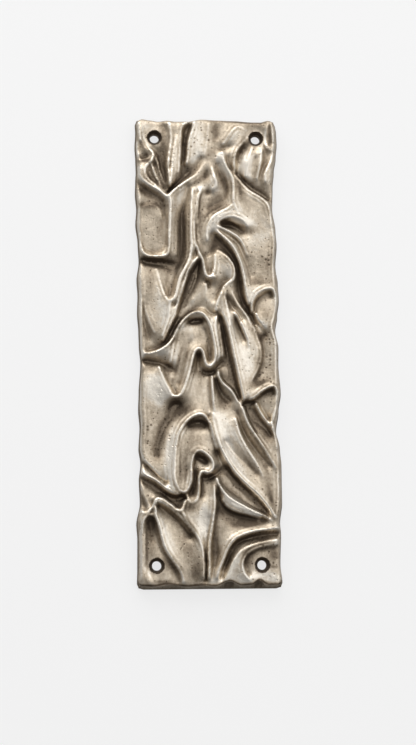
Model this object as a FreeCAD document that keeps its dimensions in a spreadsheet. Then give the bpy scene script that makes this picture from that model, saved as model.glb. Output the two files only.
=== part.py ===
import FreeCAD, Part
import math
import os

# Cast door finger plate: a flat-backed slab whose front is modelled in flowing folds, with a wavy,
# rolled edge and four countersunk screw holes. The origin is the middle of the back face, +Z is up
# the door and the front looks along -Y. All sizes are in millimetres.

# Driving sizes: alias, value, what it is
SIZES = [
    ("plate_width", 77.0, "width across the door, between the mean lines of the wavy sides"),
    ("plate_height", 255.0, "height up the door, between the mean lines of the wavy ends"),
    ("field_height", 5.4, "height above the back of the ground that the folds rise from"),
    ("crest_height", 9.0, "height above the back of the highest fold crests"),
    ("edge_height", 3.4, "height of the side wall at the rolled edge"),
    ("edge_roll", 2.4, "width of the rounded band inside the edge"),
    ("edge_draft", 0.7, "spread of the side wall from the rolled edge to the back"),
    ("hole_inset", 10.5, "from the mean lines of sides and ends to the centres of the screw holes"),
    ("hole_diameter", 5.0, "through hole for the screw shank"),
    ("sink_diameter", 8.0, "mouth of the countersink for the screw head"),
    ("sink_depth", 2.2, "depth of the countersink below the pad"),
    ("pad_diameter", 12.0, "flat pad round each screw hole"),
]

# The folds are drawn on a grid of 77 by 255 units that stretches with the plate
GRID_WIDTH = 77.0
GRID_HEIGHT = 255.0

# Height map, in grid units: its cell, the reach of a fold into the ground beside it, and its margin
CELL = 1.25
REACH = 6.0
MARGIN = 1.5

# A fold pulls the map along its crest, on a band of twice CREST_HALF, and more lightly along its feet
STEP = 0.5
PULL = 4.0
FOOT_PULL = 2.0
CREST_HALF = 0.6
BOLDNESS = 1.1

# Passes that stretch the map between the folds, and passes that round its crests
SWEEPS = 90
OVER_RELAX = 1.6
CREST_ROUNDING = 2

# Poles of the front: their spacing inside, and their places on the rolled edge as shares of its width
POLE_SPACING = 3.9
ROLL_SHARES = (0.0, 0.25, 0.65, 1.3)

# Rows and columns of patches that the front is cut into along its knots
PATCHES_UP = 8
PATCHES_ACROSS = 3

# Width of the slope round a screw hole's pad, as a share of the pad's radius
PAD_BLEND = 0.6

# Screw hole cutters: how far they run past the faces, their places, and the countersink's form
CUT_CLEARANCE = 1.0
HOLE_PLACES = {
    "x": "%d * (Sizes.plate_width / 2 - Sizes.hole_inset)",
    "z": "%d * (Sizes.plate_height / 2 - Sizes.hole_inset)",
}
SINK_HEIGHT = "Sizes.sink_depth + Sizes.crest_height - Sizes.field_height + %g" % CUT_CLEARANCE
SINK_SLOPE = "(Sizes.sink_diameter - Sizes.hole_diameter) / 2 / Sizes.sink_depth"

# Each fold: name, level or levels along it, left foot, right foot and the points that it runs
# through. A level counts tenths of the rise from the ground (0) to the highest crest (10), and is
# negative in a hollow. A foot is the distance and level of a line beside the fold, to the left or
# right as it is walked, and gives that side a steep wall.
FOLDS = [
    ("s_upper", (4, 9), (2.4, -5), None, [
        (-34.2, 117.5), (-32.5, 114), (-30.6, 110.5), (-28.9, 107.5), (-29, 104.5), (-30.6, 102.2)]),
    ("s_lower", (8, 6), (2.2, -1), None, [
        (-30.6, 102.2), (-33, 99.8), (-33.4, 97), (-32.3, 94), (-29.8, 91.2), (-26, 88.4),
        (-22.6, 85.6)]),
    ("pocket_hood", (6, 9), None, (2.2, -6), [
        (-36.6, 99.8), (-36.5, 96), (-35, 92.7), (-31.3, 89.8), (-27, 87.3), (-24, 85.2),
        (-21.7, 82.6)]),
    ("blade_left", (4, 9), None, (2.6, -4), [
        (-20.3, 125.5), (-19.2, 121), (-18.8, 116.5), (-19.6, 109), (-20.4, 102), (-20.2, 96),
        (-19.6, 89.5)]),
    ("sheet_left", (7, 4), None, (2, -6), [
        (-6.2, 126), (-7.2, 121), (-8.7, 116), (-9.4, 111), (-9.8, 106), (-10.6, 102)]),
    ("valley_diagonal", (-5, -8), None, None, [
        (-2.5, 105.5), (-6, 100.5), (-10, 96.8), (-14, 93), (-18, 88.8), (-20.8, 85.8)]),
    ("diagonal", (9, 4), None, None, [
        (-20.4, 83.8), (-17.2, 87.2), (-12.5, 90.8), (-8.5, 93.6), (-5, 96.2), (-2.4, 99.5),
        (0.5, 104)]),
    ("pocket_rim", (2, 9), None, None, [
        (-37.2, 88), (-36.6, 80), (-36.6, 72), (-36.7, 64), (-36.3, 57.5), (-35.2, 53), (-32.6, 50.4),
        (-28, 49.7), (-23.6, 50), (-21.2, 51.6), (-20.4, 56), (-20.2, 64), (-19.8, 72), (-19.6, 79),
        (-20.4, 84)]),
    ("pocket_shadow", (-9, -9), None, None, [
        (-35.2, 48.2), (-31, 47.2), (-26, 46.8), (-21.6, 46.4), (-18.6, 45.6)]),
    ("canal", (-3, -7, -7, -6, -2), None, None, [
        (-9.6, 90), (-11.6, 81), (-13.3, 73), (-13.2, 65), (-13.5, 57), (-14.4, 50), (-16.8, 43.5),
        (-18.6, 36), (-20.4, 28.6)]),
    ("spine_left", (6, 9, 9, 9), (2.4, -2), None, [
        (-7.4, 87), (-8, 79), (-8.3, 71), (-8.4, 63), (-8.3, 56), (-9.2, 49), (-12, 43), (-14.6, 38),
        (-16.3, 32), (-17.6, 27), (-20.2, 24.6)]),
    ("spine_right", (6, 8, 8), (1.8, 1), None, [
        (-2.6, 87), (-4.8, 83.5), (-5.5, 78), (-6.2, 71), (-6.7, 64), (-6, 57.5), (-4.4, 52.4),
        (-2.4, 48.2), (-1.6, 44), (-0.8, 40.2), (0.6, 38.2), (2.5, 38.4), (4.4, 38.6)]),
    ("dark_hollow", (-8,), None, None, [
        (-4.2, 47), (-5, 42), (-7, 36), (-10, 30), (-13, 24)]),
    ("vee_left", (2, 8), None, None, [
        (-27.3, 43), (-26.2, 38.5), (-25, 34), (-23.6, 29.5), (-22, 26.3), (-20.2, 24.6)]),
    ("vee_stem", (8, 6), None, None, [
        (-20.2, 24.6), (-20.9, 20), (-21.6, 15), (-22.8, 10.5), (-24.6, 6)]),
    ("bank", (6, 4), (1.6, -7), None, [
        (-17.2, 18.4), (-18.6, 15.4), (-20.6, 11.5), (-22.4, 7.5), (-24, 3.8)]),
    ("gutter", (-4, -7, -7, -5), None, None, [
        (-2.4, 22.6), (-6, 21.4), (-10.4, 18.9), (-14.2, 15), (-17.2, 10.6), (-19.8, 6.4),
        (-22.6, 2.8), (-27, -0.2), (-33, -1.8)]),
    ("arch_outer", (9, 9, 10, 9, 9), None, None, [
        (-34.6, -4), (-30, -3.4), (-25.8, -1.8), (-22, 0.8), (-19, 4.2), (-17.2, 8), (-15.2, 12.2),
        (-12, 15.8), (-8.4, 18.2), (-4.8, 19), (-1.8, 17.4), (0.6, 13.6), (2.4, 8), (3.6, 2),
        (4.2, -4), (3.4, -8.6), (1, -11.2)]),
    ("arch_inner", (9, 9, 9), None, None, [
        (1, -11.2), (-0.9, -9.8), (-1.9, -6), (-2.9, -2.4), (-4.7, -0.8), (-6.8, -2.4), (-8.2, -6),
        (-9.4, -11), (-10.8, -16), (-12.4, -21), (-14.4, -25.4), (-16.6, -27), (-19.2, -26.8)]),
    ("arch_pit", (-8,), None, None, [
        (-9.4, 13.8), (-6, 15), (-3, 14.6)]),
    ("arch_left_shadow", (-8, -9), None, None, [
        (-35, -7), (-30.5, -7.6), (-26, -8.6), (-22.4, -10.4), (-18.8, -12)]),
    ("turn_shadow", (-8, -9, -8), None, None, [
        (-2.6, -12.4), (-0.6, -14), (2.6, -13.8), (5.8, -10.6), (8.4, -7.2)]),
    ("panel_right_edge", (4, 6), (2.2, -3), None, [
        (-26.4, -10.5), (-24.6, -15.5), (-22.4, -20.4), (-20.2, -24.6), (-19.2, -26.8)]),
    ("arch_low", (9, 9, 9, 9, 6), None, None, [
        (-16.4, -76.4), (-18, -72.6), (-18.6, -67), (-18.4, -60), (-17.8, -53.5), (-16.4, -47.6),
        (-13.8, -42.8), (-10.4, -39.2), (-7, -37.2), (-4, -36.6), (-1.4, -37.8), (0.4, -41),
        (1.6, -46), (2.8, -51), (4.2, -55)]),
    ("arch_low_pit", (-7,), None, None, [
        (-10.4, -42.4), (-7, -40.8), (-3.6, -40.6), (-1.4, -43)]),
    ("hook", (6, 8, 8, 8, 6), None, None, [
        (-9.4, -66), (-8.7, -60.4), (-7, -56.9), (-4.4, -56.2), (-1.8, -57.6), (0.9, -60.2),
        (2.4, -63.4), (1.8, -66.6), (-0.6, -68.2), (-3.2, -67.2), (-4.9, -68.6), (-5.4, -73),
        (-5.5, -78.6), (-6.8, -82.4), (-9.2, -83.9), (-11.2, -82.2), (-11.8, -79.8)]),
    ("hook_shadow", (-9, -9), None, None, [
        (-3.4, -70.4), (-0.5, -70.6), (3.2, -69.2), (7.4, -66), (10.2, -66.2)]),
    ("left_fold", (4, 8, 8), None, (2.2, -8), [
        (-36.3, -63.5), (-35.6, -67), (-33.6, -69.2), (-29, -71.4), (-25.4, -74.2), (-21.8, -77.2),
        (-18.4, -79), (-15.4, -79)]),
    ("left_hollow", (-6,), None, None, [
        (-35.4, -72.4), (-31.5, -75), (-27, -78.4)]),
    ("left_shadow", (-9,), None, None, [
        (-24, -79.2), (-20, -81.2), (-16, -82), (-12.8, -81.4)]),
    ("branch", (6, 8, 8, 8), None, None, [
        (-36.4, -88.2), (-34, -89.4), (-31.4, -87.8), (-29.6, -84.6), (-28.4, -82.2), (-26.6, -81.6),
        (-23.6, -82.8), (-20.6, -84.8), (-18.2, -87.2), (-15.8, -88.2), (-14.2, -87)]),
    ("branch_down", (8, 7, 4), None, (2.4, -7), [
        (-27.8, -82.6), (-23.6, -84.4), (-19.6, -87.6), (-16.4, -90.4), (-13, -94), (-10.2, -97.6),
        (-7.6, -100.6)]),
    ("panel_left_lip", (7, 6), None, None, [
        (-14.2, -87.4), (-13.6, -90.4), (-12.2, -93.6), (-9.6, -97.4), (-7.6, -100), (-5.4, -104),
        (-3.6, -109), (-2.9, -116), (-3, -124)]),
    ("leaf_left", (8, 7, 7, 5), None, (2, -3), [
        (-28.4, -82.6), (-28.4, -87), (-28.6, -90.4), (-27.4, -93.8), (-26.2, -98), (-25.1, -103),
        (-23.4, -108.2), (-20.6, -113), (-17.4, -117.2), (-15, -121.4), (-14, -126)]),
    ("centre_right", (6, 8, 6), (2, -3), None, [
        (2.6, -75), (3, -84), (2.2, -91), (1, -98), (0, -104), (-0.5, -111), (-0.4, -117),
        (-0.8, -124)]),
    ("right_dark", (-6, -7, -7), None, None, [
        (4.2, -79), (6.2, -83), (9, -87.4), (13.4, -90), (19, -91.4), (26, -92.4), (31, -93.6)]),
    ("blade_low", (6, 8, 8, 5), None, None, [
        (4, -70.6), (5.6, -75), (8.2, -79), (12, -82.4), (17, -85.2), (22.5, -88), (28, -90.4),
        (34, -93.8)]),
    ("great_edge", (5, 8, 9, 9, 8), None, (2.4, -7), [
        (2.6, -36.6), (3.2, -42), (4.4, -47.4), (5.8, -52.6), (8, -58), (10.8, -63.2), (14, -68),
        (17.6, -72), (21.4, -75.6), (25.2, -79), (28.6, -82.8), (31.6, -86.8), (34, -90.2),
        (35.6, -92)]),
    ("great_shadow", (-8, -8), None, None, [
        (10.6, -67), (15, -72.6), (20.6, -78), (26, -83), (31, -88.4)]),
    ("great_pleat", (4, 5, 4), None, None, [
        (14.6, -39), (16.4, -46), (19.2, -52.4), (22.4, -58), (26, -64), (29, -70)]),
    ("strap", (6, 8, 7, 5), None, None, [
        (18.2, -32.4), (20.4, -39.4), (23.2, -45), (26.6, -50.2), (30, -55.6), (33, -60.6),
        (36, -65.6)]),
    ("cup_lower", (7, 8, 8, 5), None, (1.8, -6), [
        (22.4, -28.4), (24.8, -27.4), (28, -24.8), (31, -22.8), (34.4, -21.4), (36.4, -22),
        (37.2, -25)]),
    ("cup_upper", (6, 8, 8, 5), None, (1.8, -6), [
        (24.2, 19.4), (24.3, 23.4), (25.6, 26.9), (28.2, 29.8), (31.2, 31.6), (34.4, 32.3),
        (36.2, 31.4), (37.2, 28.4)]),
    ("shoulder", (5, 9, 10, 9, 8), None, (2.4, -7), [
        (5.2, 64.8), (8.4, 61.8), (12, 58.2), (14.9, 54.2), (17.2, 49.2), (18.9, 44), (20, 38.6),
        (20.7, 33), (21.5, 28), (22.4, 23.8)]),
    ("shell_hollow", (-8, -9, -5), None, None, [
        (9, 67.8), (12, 68.2), (15.4, 67.4), (18.6, 65.6), (20.2, 63.8)]),
    ("shell_lip", (6, 8, 6), None, None, [
        (6, 69), (9, 71.2), (13, 72.2), (17, 71.6), (20.4, 69.6), (22.4, 67)]),
    ("mast", (6, 8, 9, 9, 7), None, None, [
        (9.2, 109), (9.9, 104.6), (11.6, 100), (13.5, 96.2), (14.8, 92), (15.1, 86.6), (14.9, 81.4),
        (16.4, 76.6), (18, 73.6)]),
    ("cowl", (8, 7, 4), None, None, [
        (14.8, 79.2), (11.6, 76.6), (7.4, 74.4), (3.8, 71.8), (1.4, 68), (0.2, 63.6), (0.8, 59)]),
    ("shoulder_hollow", (-2, -5, -7), None, None, [
        (4.4, 63.4), (4, 58), (6.6, 56.4), (10.4, 53.4), (14, 50.4), (16.6, 46), (17.2, 40),
        (17.4, 33), (19.6, 26.4), (22.6, 20)]),
    ("bulb_edge", (3, 7, 7, 6, 4), None, None, [
        (5.8, 53.4), (9.4, 51.2), (12.8, 47.8), (15, 44), (15.3, 40), (14, 36.9), (11.4, 35.2),
        (9.2, 32.8), (7.8, 30)]),
    ("long_edge", (5, 8, 9, 8, 7), None, (2.2, -6), [
        (8, 19.4), (10, 14.8), (11.4, 10.4), (12.4, 5.4), (13.4, 0), (14.5, -6), (16, -13),
        (17.4, -20), (18.6, -25.6), (19.4, -28.8)]),
    ("long_edge_dark", (-7, -7, -7, -7), None, None, [
        (7, 17), (8.4, 10), (9.6, 3), (10.8, -4), (12.6, -12), (14.8, -20), (17.2, -27.6)]),
    ("leaf_right_edge", (3, 4, 3), (1.6, -3), None, [
        (24.2, 14), (25.6, 9.4), (27, 5), (28.4, 1), (29, -3.6), (28.2, -8.4), (26.4, -13),
        (23.6, -18)]),
    ("sliver", (3, 6, 6, 4), None, None, [
        (5.4, -12), (5.9, -16), (8, -19.7), (10.8, -22.2), (13.4, -25), (15.3, -28.4), (18, -31.6)]),
    ("leaf_shadow", (-7, -8, -7), None, None, [
        (16.6, 98.4), (19.4, 94.8), (22.8, 90.8), (26.6, 87.8), (30.6, 85.4), (34.6, 82.6)]),
    ("lower_sheet", (6, 7, 7, 6), None, None, [
        (15.8, 95.4), (18.8, 92), (22, 88.4), (26, 85.4), (30, 83), (33, 80.4), (34.8, 76.4),
        (35.4, 72), (35.8, 67)]),
    ("sweep", (5, 7, 8, 7, 6), None, (2.2, -7), [
        (3.6, -123.6), (5.2, -119), (7.4, -113.4), (9.4, -108.4), (12, -104.6), (15.6, -101.8),
        (20, -100.2), (26, -98.8), (32, -98.2), (36.4, -97.6)]),
    ("sweep_shadow", (-6, -7, -7), None, None, [
        (6.4, -120), (9.6, -113.4), (12.6, -108), (15.6, -105), (20, -103.4), (26, -101.8), (31, -101),
        (36.6, -100.8)]),
    ("hem", (4, 6, 5), None, None, [
        (8.4, -125), (10.2, -121), (12, -116.4), (14.6, -112), (18, -108.6), (23, -106.4), (29, -105),
        (36, -104)]),
    ("hole_pocket", (4, 6, 6, 4), (1.8, -2), None, [
        (36, -105.8), (30, -106.6), (25, -108), (20.8, -110.2), (18.2, -113), (17.2, -116.4),
        (17.8, -120.4), (20.4, -124.6)]),
]

# Soft swells of the panels between folds: centre x and z, reach along and across, the angle of the
# long way from +X in degrees, and the level at the middle.
SWELLS = [
    (-2, 115, 12, 5, 95, 4.5),
    (-30, 66, 14, 5, 90, 2.5),
    (-29.5, -22, 12, 5.5, 80, 4.5),
    (22, 72, 7, 5, 20, 4.5),
    (29, 60, 9, 6, 90, 2),
    (27, 104, 9, 6, 90, 3),
    (20, -2, 15, 5, 100, 4),
    (12, -50, 14, 5, 115, 3.5),
    (-1, -88, 12, 3.5, 90, 4),
    (-18, -105, 14, 6, 110, 2),
    (10, 45, 6, 4, 100, 3.5),
    (-10, 7, 5, 4, 30, 3.5),
    (-6, -52, 8, 4, 90, 2),
    (-1, -25, 9, 3.5, 90, 3),
    (31, -31, 5, 4, 90, 2),
    (32, 22, 6, 4, 90, 2),
    (-24, 20, 10, 3, 100, 2),
    (-5, 29, 6, 3, 50, 1.5),
]

# How far each wavy side lies outside the mean line, in grid units, at places along it. The lower end
# spreads to a nearly straight line at the back.
LEFT_WAVE = [
    (-127.5, -0.7), (-125, 0.1), (-118, -0.1), (-102, -0.2), (-94, 0.3), (-83, -1.6), (-71, -1.1), (-62, -2),
    (-54, -1), (-43, -1.6), (-33, -0.9), (-24, -1.2), (-8, -2.2), (2, -1.4), (9, -1.2), (20, -0.5), (29, -0.8),
    (38, -0.3), (48, -1.5), (58, -1), (69, 0.2), (77, -0.3), (86, 0.4), (93, 0.2), (98, -0.1), (105, 0.1),
    (112, 0.5), (121, 0.1), (125, 0.3), (127.5, -0.5)]
RIGHT_WAVE = [
    (-127.5, 0), (-125, 0.8), (-116, -0.1), (-99, 0.5), (-94, 0.1), (-83, 1.4), (-63, 1.4), (-54, 0.7),
    (-45, -1.2), (-34, 0.3), (-24, 1.7), (-9, 0.7), (1, 0.9), (10, -0.7), (18, 0.5), (27, 1.6), (36, 1.2),
    (46, 0), (58, 0.9), (66, 0.4), (78, -1.2), (90, -0.8), (99, 0), (107, 1.2), (115, 1.9), (122, 1.7),
    (125, 1.2), (127.5, 0.3)]
BOTTOM_WAVE = [
    (-38.5, -0.3), (-36, 0.3), (-30, 0.7), (-22, -0.3), (-12, 0.8), (-3, 0.4), (3, 0.7), (10.5, -1.4), (17, 0.4),
    (22, 0.2), (26.5, -1.8), (31, 0.3), (36, 0.3), (38.5, -0.3)]
TOP_WAVE = [
    (-38.5, 0.3), (-36, 1.2), (-32, 0.6), (-27, -0.1), (-22, 0.5), (-17, 0), (-10, 0.1), (-2, 1.4), (6, 1),
    (16, 0.7), (26, 0.1), (31, 0.1), (35.6, 1.2), (38.5, 0.3)]
BACK_BOTTOM_WAVE = [(-38.5, 1.3), (-35.5, 2), (35.5, 2), (38.5, 1.3)]


def make_sheet(doc):
    """The spreadsheet that holds the driving sizes."""
    sheet = doc.addObject("Spreadsheet::Sheet", "Sizes")
    for row, (alias, value, meaning) in enumerate(SIZES, start=1):
        sheet.set("A%d" % row, alias)
        sheet.set("B%d" % row, "%g" % value)
        sheet.set("C%d" % row, meaning)
        sheet.setAlias("B%d" % row, alias)
    doc.recompute()
    return sheet


def smooth_run(points, spacing):
    """Points about one spacing apart on a smooth curve through the given points."""
    first = [2 * a - b for a, b in zip(points[0], points[1])]
    last = [2 * a - b for a, b in zip(points[-1], points[-2])]
    path = [first] + [list(p) for p in points] + [last]
    run = []
    for before, start, end, after in zip(path, path[1:], path[2:], path[3:]):
        count = max(2, int(math.dist(start, end) / spacing) + 1)
        for i in range(count):
            t = i / count
            weights = (-t + 2 * t**2 - t**3, 2 - 5 * t**2 + 3 * t**3, t + 4 * t**2 - 3 * t**3, t**3 - t**2)
            corners = zip(before, start, end, after)
            run.append([sum(w * c for w, c in zip(weights, axis)) / 2 for axis in corners])
    run.append(list(points[-1]))
    return run


def wave_at(wave, place):
    """Smooth value of a wave, given as (place, value) pairs, at one place."""
    if place <= wave[0][0]:
        return wave[0][1]
    for (a, low), (b, high) in zip(wave, wave[1:]):
        if place <= b:
            t = (place - a) / (b - a)
            return low + (high - low) * t * t * (3 - 2 * t)
    return wave[-1][1]


def level_along(levels, share):
    """Level at a share of a fold's length, between the levels spread evenly along it."""
    place = share * (len(levels) - 1)
    index = min(int(place), len(levels) - 2)
    if len(levels) == 1:
        return levels[0]
    return levels[index] + (levels[index + 1] - levels[index]) * (place - index)


class HeightMap:
    """Levels of the folded front on a square grid, with the ground at level 0."""

    def __init__(self):
        self.x_low = -GRID_WIDTH / 2 - MARGIN
        self.z_low = -GRID_HEIGHT / 2 - MARGIN
        self.columns = int(-2 * self.x_low / CELL) + 2
        self.rows = int(-2 * self.z_low / CELL) + 2
        self.level = [[self.ground(i, j) for i in range(self.columns)] for j in range(self.rows)]
        self.pull = {}

    def ground(self, i, j):
        """Level of the soft swells at one cell."""
        total = 0.0
        for x, z, along, across, angle, level in SWELLS:
            turn = math.radians(angle)
            dx = self.x_low + i * CELL - x
            dz = self.z_low + j * CELL - z
            u = (dx * math.cos(turn) + dz * math.sin(turn)) / along
            v = (dz * math.cos(turn) - dx * math.sin(turn)) / across
            total += level * math.exp(-u * u - v * v)
        return total

    def stamp(self, x, z, level, weight):
        """Pull the cell at a place towards a level."""
        i = round((x - self.x_low) / CELL)
        j = round((z - self.z_low) / CELL)
        if 0 < i < self.columns - 1 and 0 < j < self.rows - 1:
            total, weights, strongest = self.pull.get((i, j), (0.0, 0.0, 0.0))
            self.pull[i, j] = (total + weight * level, weights + weight, max(strongest, weight))

    def add_fold(self, levels, left, right, points):
        """Stamp a fold's crest, or hollow, and the feet beside it."""
        run = smooth_run(points, STEP)
        for k, (x, z) in enumerate(run):
            level = BOLDNESS * level_along(levels, k / (len(run) - 1))
            ahead = run[min(k + 1, len(run) - 1)]
            behind = run[max(k - 1, 0)]
            length = math.dist(ahead, behind)
            across = ((behind[1] - ahead[1]) / length, (ahead[0] - behind[0]) / length)
            lines = [(away, level, PULL) for away in (-CREST_HALF, 0, CREST_HALF)]
            for foot, side in ((left, 1), (right, -1)):
                if foot:
                    lines.append((side * (foot[0] + CREST_HALF), BOLDNESS * foot[1], FOOT_PULL))
            for away, height, weight in lines:
                self.stamp(x + away * across[0], z + away * across[1], height, weight)

    def relax(self):
        """Stretch the front between the folds, as a skin that the ground holds back."""
        ground = [row[:] for row in self.level]
        hold = (CELL / REACH) ** 2
        for _ in range(SWEEPS):
            for j in range(1, self.rows - 1):
                here, above, below = self.level[j], self.level[j + 1], self.level[j - 1]
                for i in range(1, self.columns - 1):
                    total, weights, strength = self.pull.get((i, j), (0.0, 1.0, 0.0))
                    around = here[i - 1] + here[i + 1] + above[i] + below[i] + hold * ground[j][i]
                    aim = (around + strength * total / weights) / (4 + hold + strength)
                    here[i] += OVER_RELAX * (aim - here[i])

    def round_crests(self):
        """Round the sharp crests by averaging each cell with its neighbours."""
        for _ in range(CREST_ROUNDING):
            old = [row[:] for row in self.level]
            for j in range(1, self.rows - 1):
                for i in range(1, self.columns - 1):
                    beside = old[j][i - 1] + old[j][i + 1] + old[j - 1][i] + old[j + 1][i]
                    self.level[j][i] = old[j][i] / 2 + beside / 8

    def lift_crests(self):
        """Stretch the levels until the highest crest is at level 10 again."""
        highest = max(max(row) for row in self.level)
        self.level = [[10 * level / highest for level in row] for row in self.level]

    def at(self, x, z):
        """Level at a place, between the four cells round it."""
        u = min(max((x - self.x_low) / CELL, 0), self.columns - 1.001)
        v = min(max((z - self.z_low) / CELL, 0), self.rows - 1.001)
        i, j = int(u), int(v)
        u, v = u - i, v - j
        low = self.level[j][i] * (1 - u) + self.level[j][i + 1] * u
        high = self.level[j + 1][i] * (1 - u) + self.level[j + 1][i + 1] * u
        return low * (1 - v) + high * v


def folded_front():
    """The height map with every fold in it."""
    front = HeightMap()
    for _, levels, left, right, points in FOLDS:
        front.add_fold(levels, left, right, points)
    front.relax()
    front.round_crests()
    front.lift_crests()
    return front


def edge_lines(length, roll):
    """Shares of a length for the poles: even inside, and closer together on the rolled edges."""
    near = [share * roll for share in ROLL_SHARES]
    inner = length - 2 * near[-1]
    count = max(2, round(inner / POLE_SPACING))
    even = [near[-1] + inner * k / count for k in range(1, count)]
    far = [length - d for d in reversed(near)]
    return [d / length for d in near + even + far]


def clamped_knots(count):
    """Knots and multiplicities of a cubic curve that starts and ends on its poles."""
    inner = count - 4
    return list(range(inner + 2)), [4] + [1] * inner + [4]


def spline_surface(rows):
    """Spline surface whose poles are given row by row; two rows make it ruled."""
    u_degree = 3 if len(rows) > 3 else 1
    u_knots, u_mults = clamped_knots(len(rows)) if u_degree == 3 else ([0, 1], [2, 2])
    v_knots, v_mults = clamped_knots(len(rows[0]))
    surface = Part.BSplineSurface()
    surface.buildFromPolesMultsKnots(rows, u_mults, v_mults, u_knots, v_knots, False, False, u_degree, 3)
    return surface


def patches(surface, u_count, v_count):
    """Faces of a spline surface, cut along its knots into rows and columns of patches."""
    u_knots, v_knots = surface.getUKnots(), surface.getVKnots()
    u_cuts = [u_knots[round(k * (len(u_knots) - 1) / u_count)] for k in range(u_count + 1)]
    v_cuts = [v_knots[round(k * (len(v_knots) - 1) / v_count)] for k in range(v_count + 1)]
    faces = []
    for low, high in zip(u_cuts, u_cuts[1:]):
        for left, right in zip(v_cuts, v_cuts[1:]):
            patch = surface.copy()
            patch.segment(low, high, left, right)
            faces.append(patch.toShape())
    return faces


def on_back(edge):
    """Whether an edge lies in the plane of the back."""
    return max(abs(edge.BoundBox.YMin), abs(edge.BoundBox.YMax)) < 1e-6


class PlateShape:
    """Places on the plate, worked out from the sheet's sizes and the drawn folds."""

    def __init__(self, sheet, front):
        self.size = sheet
        self.front = front
        self.x_scale = sheet.plate_width / GRID_WIDTH
        self.z_scale = sheet.plate_height / GRID_HEIGHT

    def spot(self, u, v, spread, bottom_wave=BOTTOM_WAVE):
        """Place in the plane of the door at shares u and v of the wavy outline."""
        x_grid = GRID_WIDTH * (u - 0.5)
        z_grid = GRID_HEIGHT * (v - 0.5)
        left = -GRID_WIDTH / 2 - wave_at(LEFT_WAVE, z_grid)
        right = GRID_WIDTH / 2 + wave_at(RIGHT_WAVE, z_grid)
        bottom = -GRID_HEIGHT / 2 - wave_at(bottom_wave, x_grid)
        top = GRID_HEIGHT / 2 + wave_at(TOP_WAVE, x_grid)
        x = (left + (right - left) * u) * self.x_scale + spread * (2 * u - 1)
        z = (bottom + (top - bottom) * v) * self.z_scale + spread * (2 * v - 1)
        return x, z

    def pad_share(self, x, z):
        """1 on the pad of a screw hole, falling to 0 a little outside it."""
        hole_x = self.size.plate_width / 2 - self.size.hole_inset
        hole_z = self.size.plate_height / 2 - self.size.hole_inset
        away = math.dist((abs(x), abs(z)), (hole_x, hole_z))
        pad = self.size.pad_diameter / 2
        t = min(max(((1 + PAD_BLEND) * pad - away) / (PAD_BLEND * pad), 0), 1)
        return t * t * (3 - 2 * t)

    def height(self, x, z, inside):
        """Height of the front above the back at a place, a distance inside the edge."""
        rise = self.size.crest_height - self.size.field_height
        level = self.front.at(x / self.x_scale, z / self.z_scale) / 10
        folded = self.size.field_height + rise * level * (1 - self.pad_share(x, z))
        t = min(inside / self.size.edge_roll, 1)
        roll = math.sqrt(1 - (1 - t) ** 2)
        return self.size.edge_height + (folded - self.size.edge_height) * roll

    def front_poles(self):
        """Poles of the front, row by row from the bottom to the top."""
        width, length = self.size.plate_width, self.size.plate_height
        columns = edge_lines(width, self.size.edge_roll)
        rows = edge_lines(length, self.size.edge_roll)
        poles = []
        for v in rows:
            row = []
            for u in columns:
                x, z = self.spot(u, v, -self.size.edge_draft)
                inside = min(u * width, (1 - u) * width, v * length, (1 - v) * length)
                row.append(FreeCAD.Vector(x, -self.height(x, z, inside), z))
            poles.append(row)
        back = [[FreeCAD.Vector(*self.back_spot(u, v)) for u in columns] for v in rows]
        return poles, back

    def back_spot(self, u, v):
        """Place on the back at shares of the outline, where the side wall has spread."""
        x, z = self.spot(u, v, 0, BACK_BOTTOM_WAVE)
        return x, 0, z

    def solid(self):
        """Closed solid: folded front, four ruled side walls and the flat back."""
        front, back = self.front_poles()
        borders = [
            (front[0], back[0], PATCHES_ACROSS),
            (front[-1], back[-1], PATCHES_ACROSS),
            ([row[0] for row in front], [row[0] for row in back], PATCHES_UP),
            ([row[-1] for row in front], [row[-1] for row in back], PATCHES_UP)]
        walls = []
        for upper, lower, count in borders:
            walls += patches(spline_surface([upper, lower]), 1, count)
        outline = [edge for wall in walls for edge in wall.Edges if on_back(edge)]
        faces = patches(spline_surface(front), PATCHES_UP, PATCHES_ACROSS) + walls
        faces.append(Part.Face(Part.Wire(Part.__sortEdges__(outline))))
        shell = Part.makeShell(faces)
        shell.sewShape()
        solid = Part.makeSolid(shell)
        if solid.Volume < 0:
            solid.reverse()
        return solid


def add_cutter(doc, kind, name, place, expressions):
    """One cutter of a screw hole, on an axis from the back to the front, bound to the sheet."""
    cutter = doc.addObject(kind, name)
    cutter.Placement = FreeCAD.Placement(FreeCAD.Vector(), FreeCAD.Rotation(FreeCAD.Vector(1, 0, 0), 90))
    across, up = place
    cutter.setExpression("Placement.Base.x", HOLE_PLACES["x"] % across)
    cutter.setExpression("Placement.Base.z", HOLE_PLACES["z"] % up)
    for target, formula in expressions:
        cutter.setExpression(target, formula)
    return cutter


def add_screw_hole(doc, place, name):
    """Through hole and a countersink that runs on past the highest crest."""
    shank = add_cutter(doc, "Part::Cylinder", name + "_shank", place, [
        ("Placement.Base.y", "%g" % CUT_CLEARANCE),
        ("Radius", "Sizes.hole_diameter / 2"),
        ("Height", "Sizes.crest_height + %g" % (2 * CUT_CLEARANCE))])
    sink = add_cutter(doc, "Part::Cone", name + "_sink", place, [
        ("Placement.Base.y", "-(Sizes.field_height - Sizes.sink_depth)"),
        ("Radius1", "Sizes.hole_diameter / 2"),
        ("Radius2", "Sizes.hole_diameter / 2 + (%s) * (%s)" % (SINK_HEIGHT, SINK_SLOPE)),
        ("Height", SINK_HEIGHT)])
    return [shank, sink]


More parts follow.
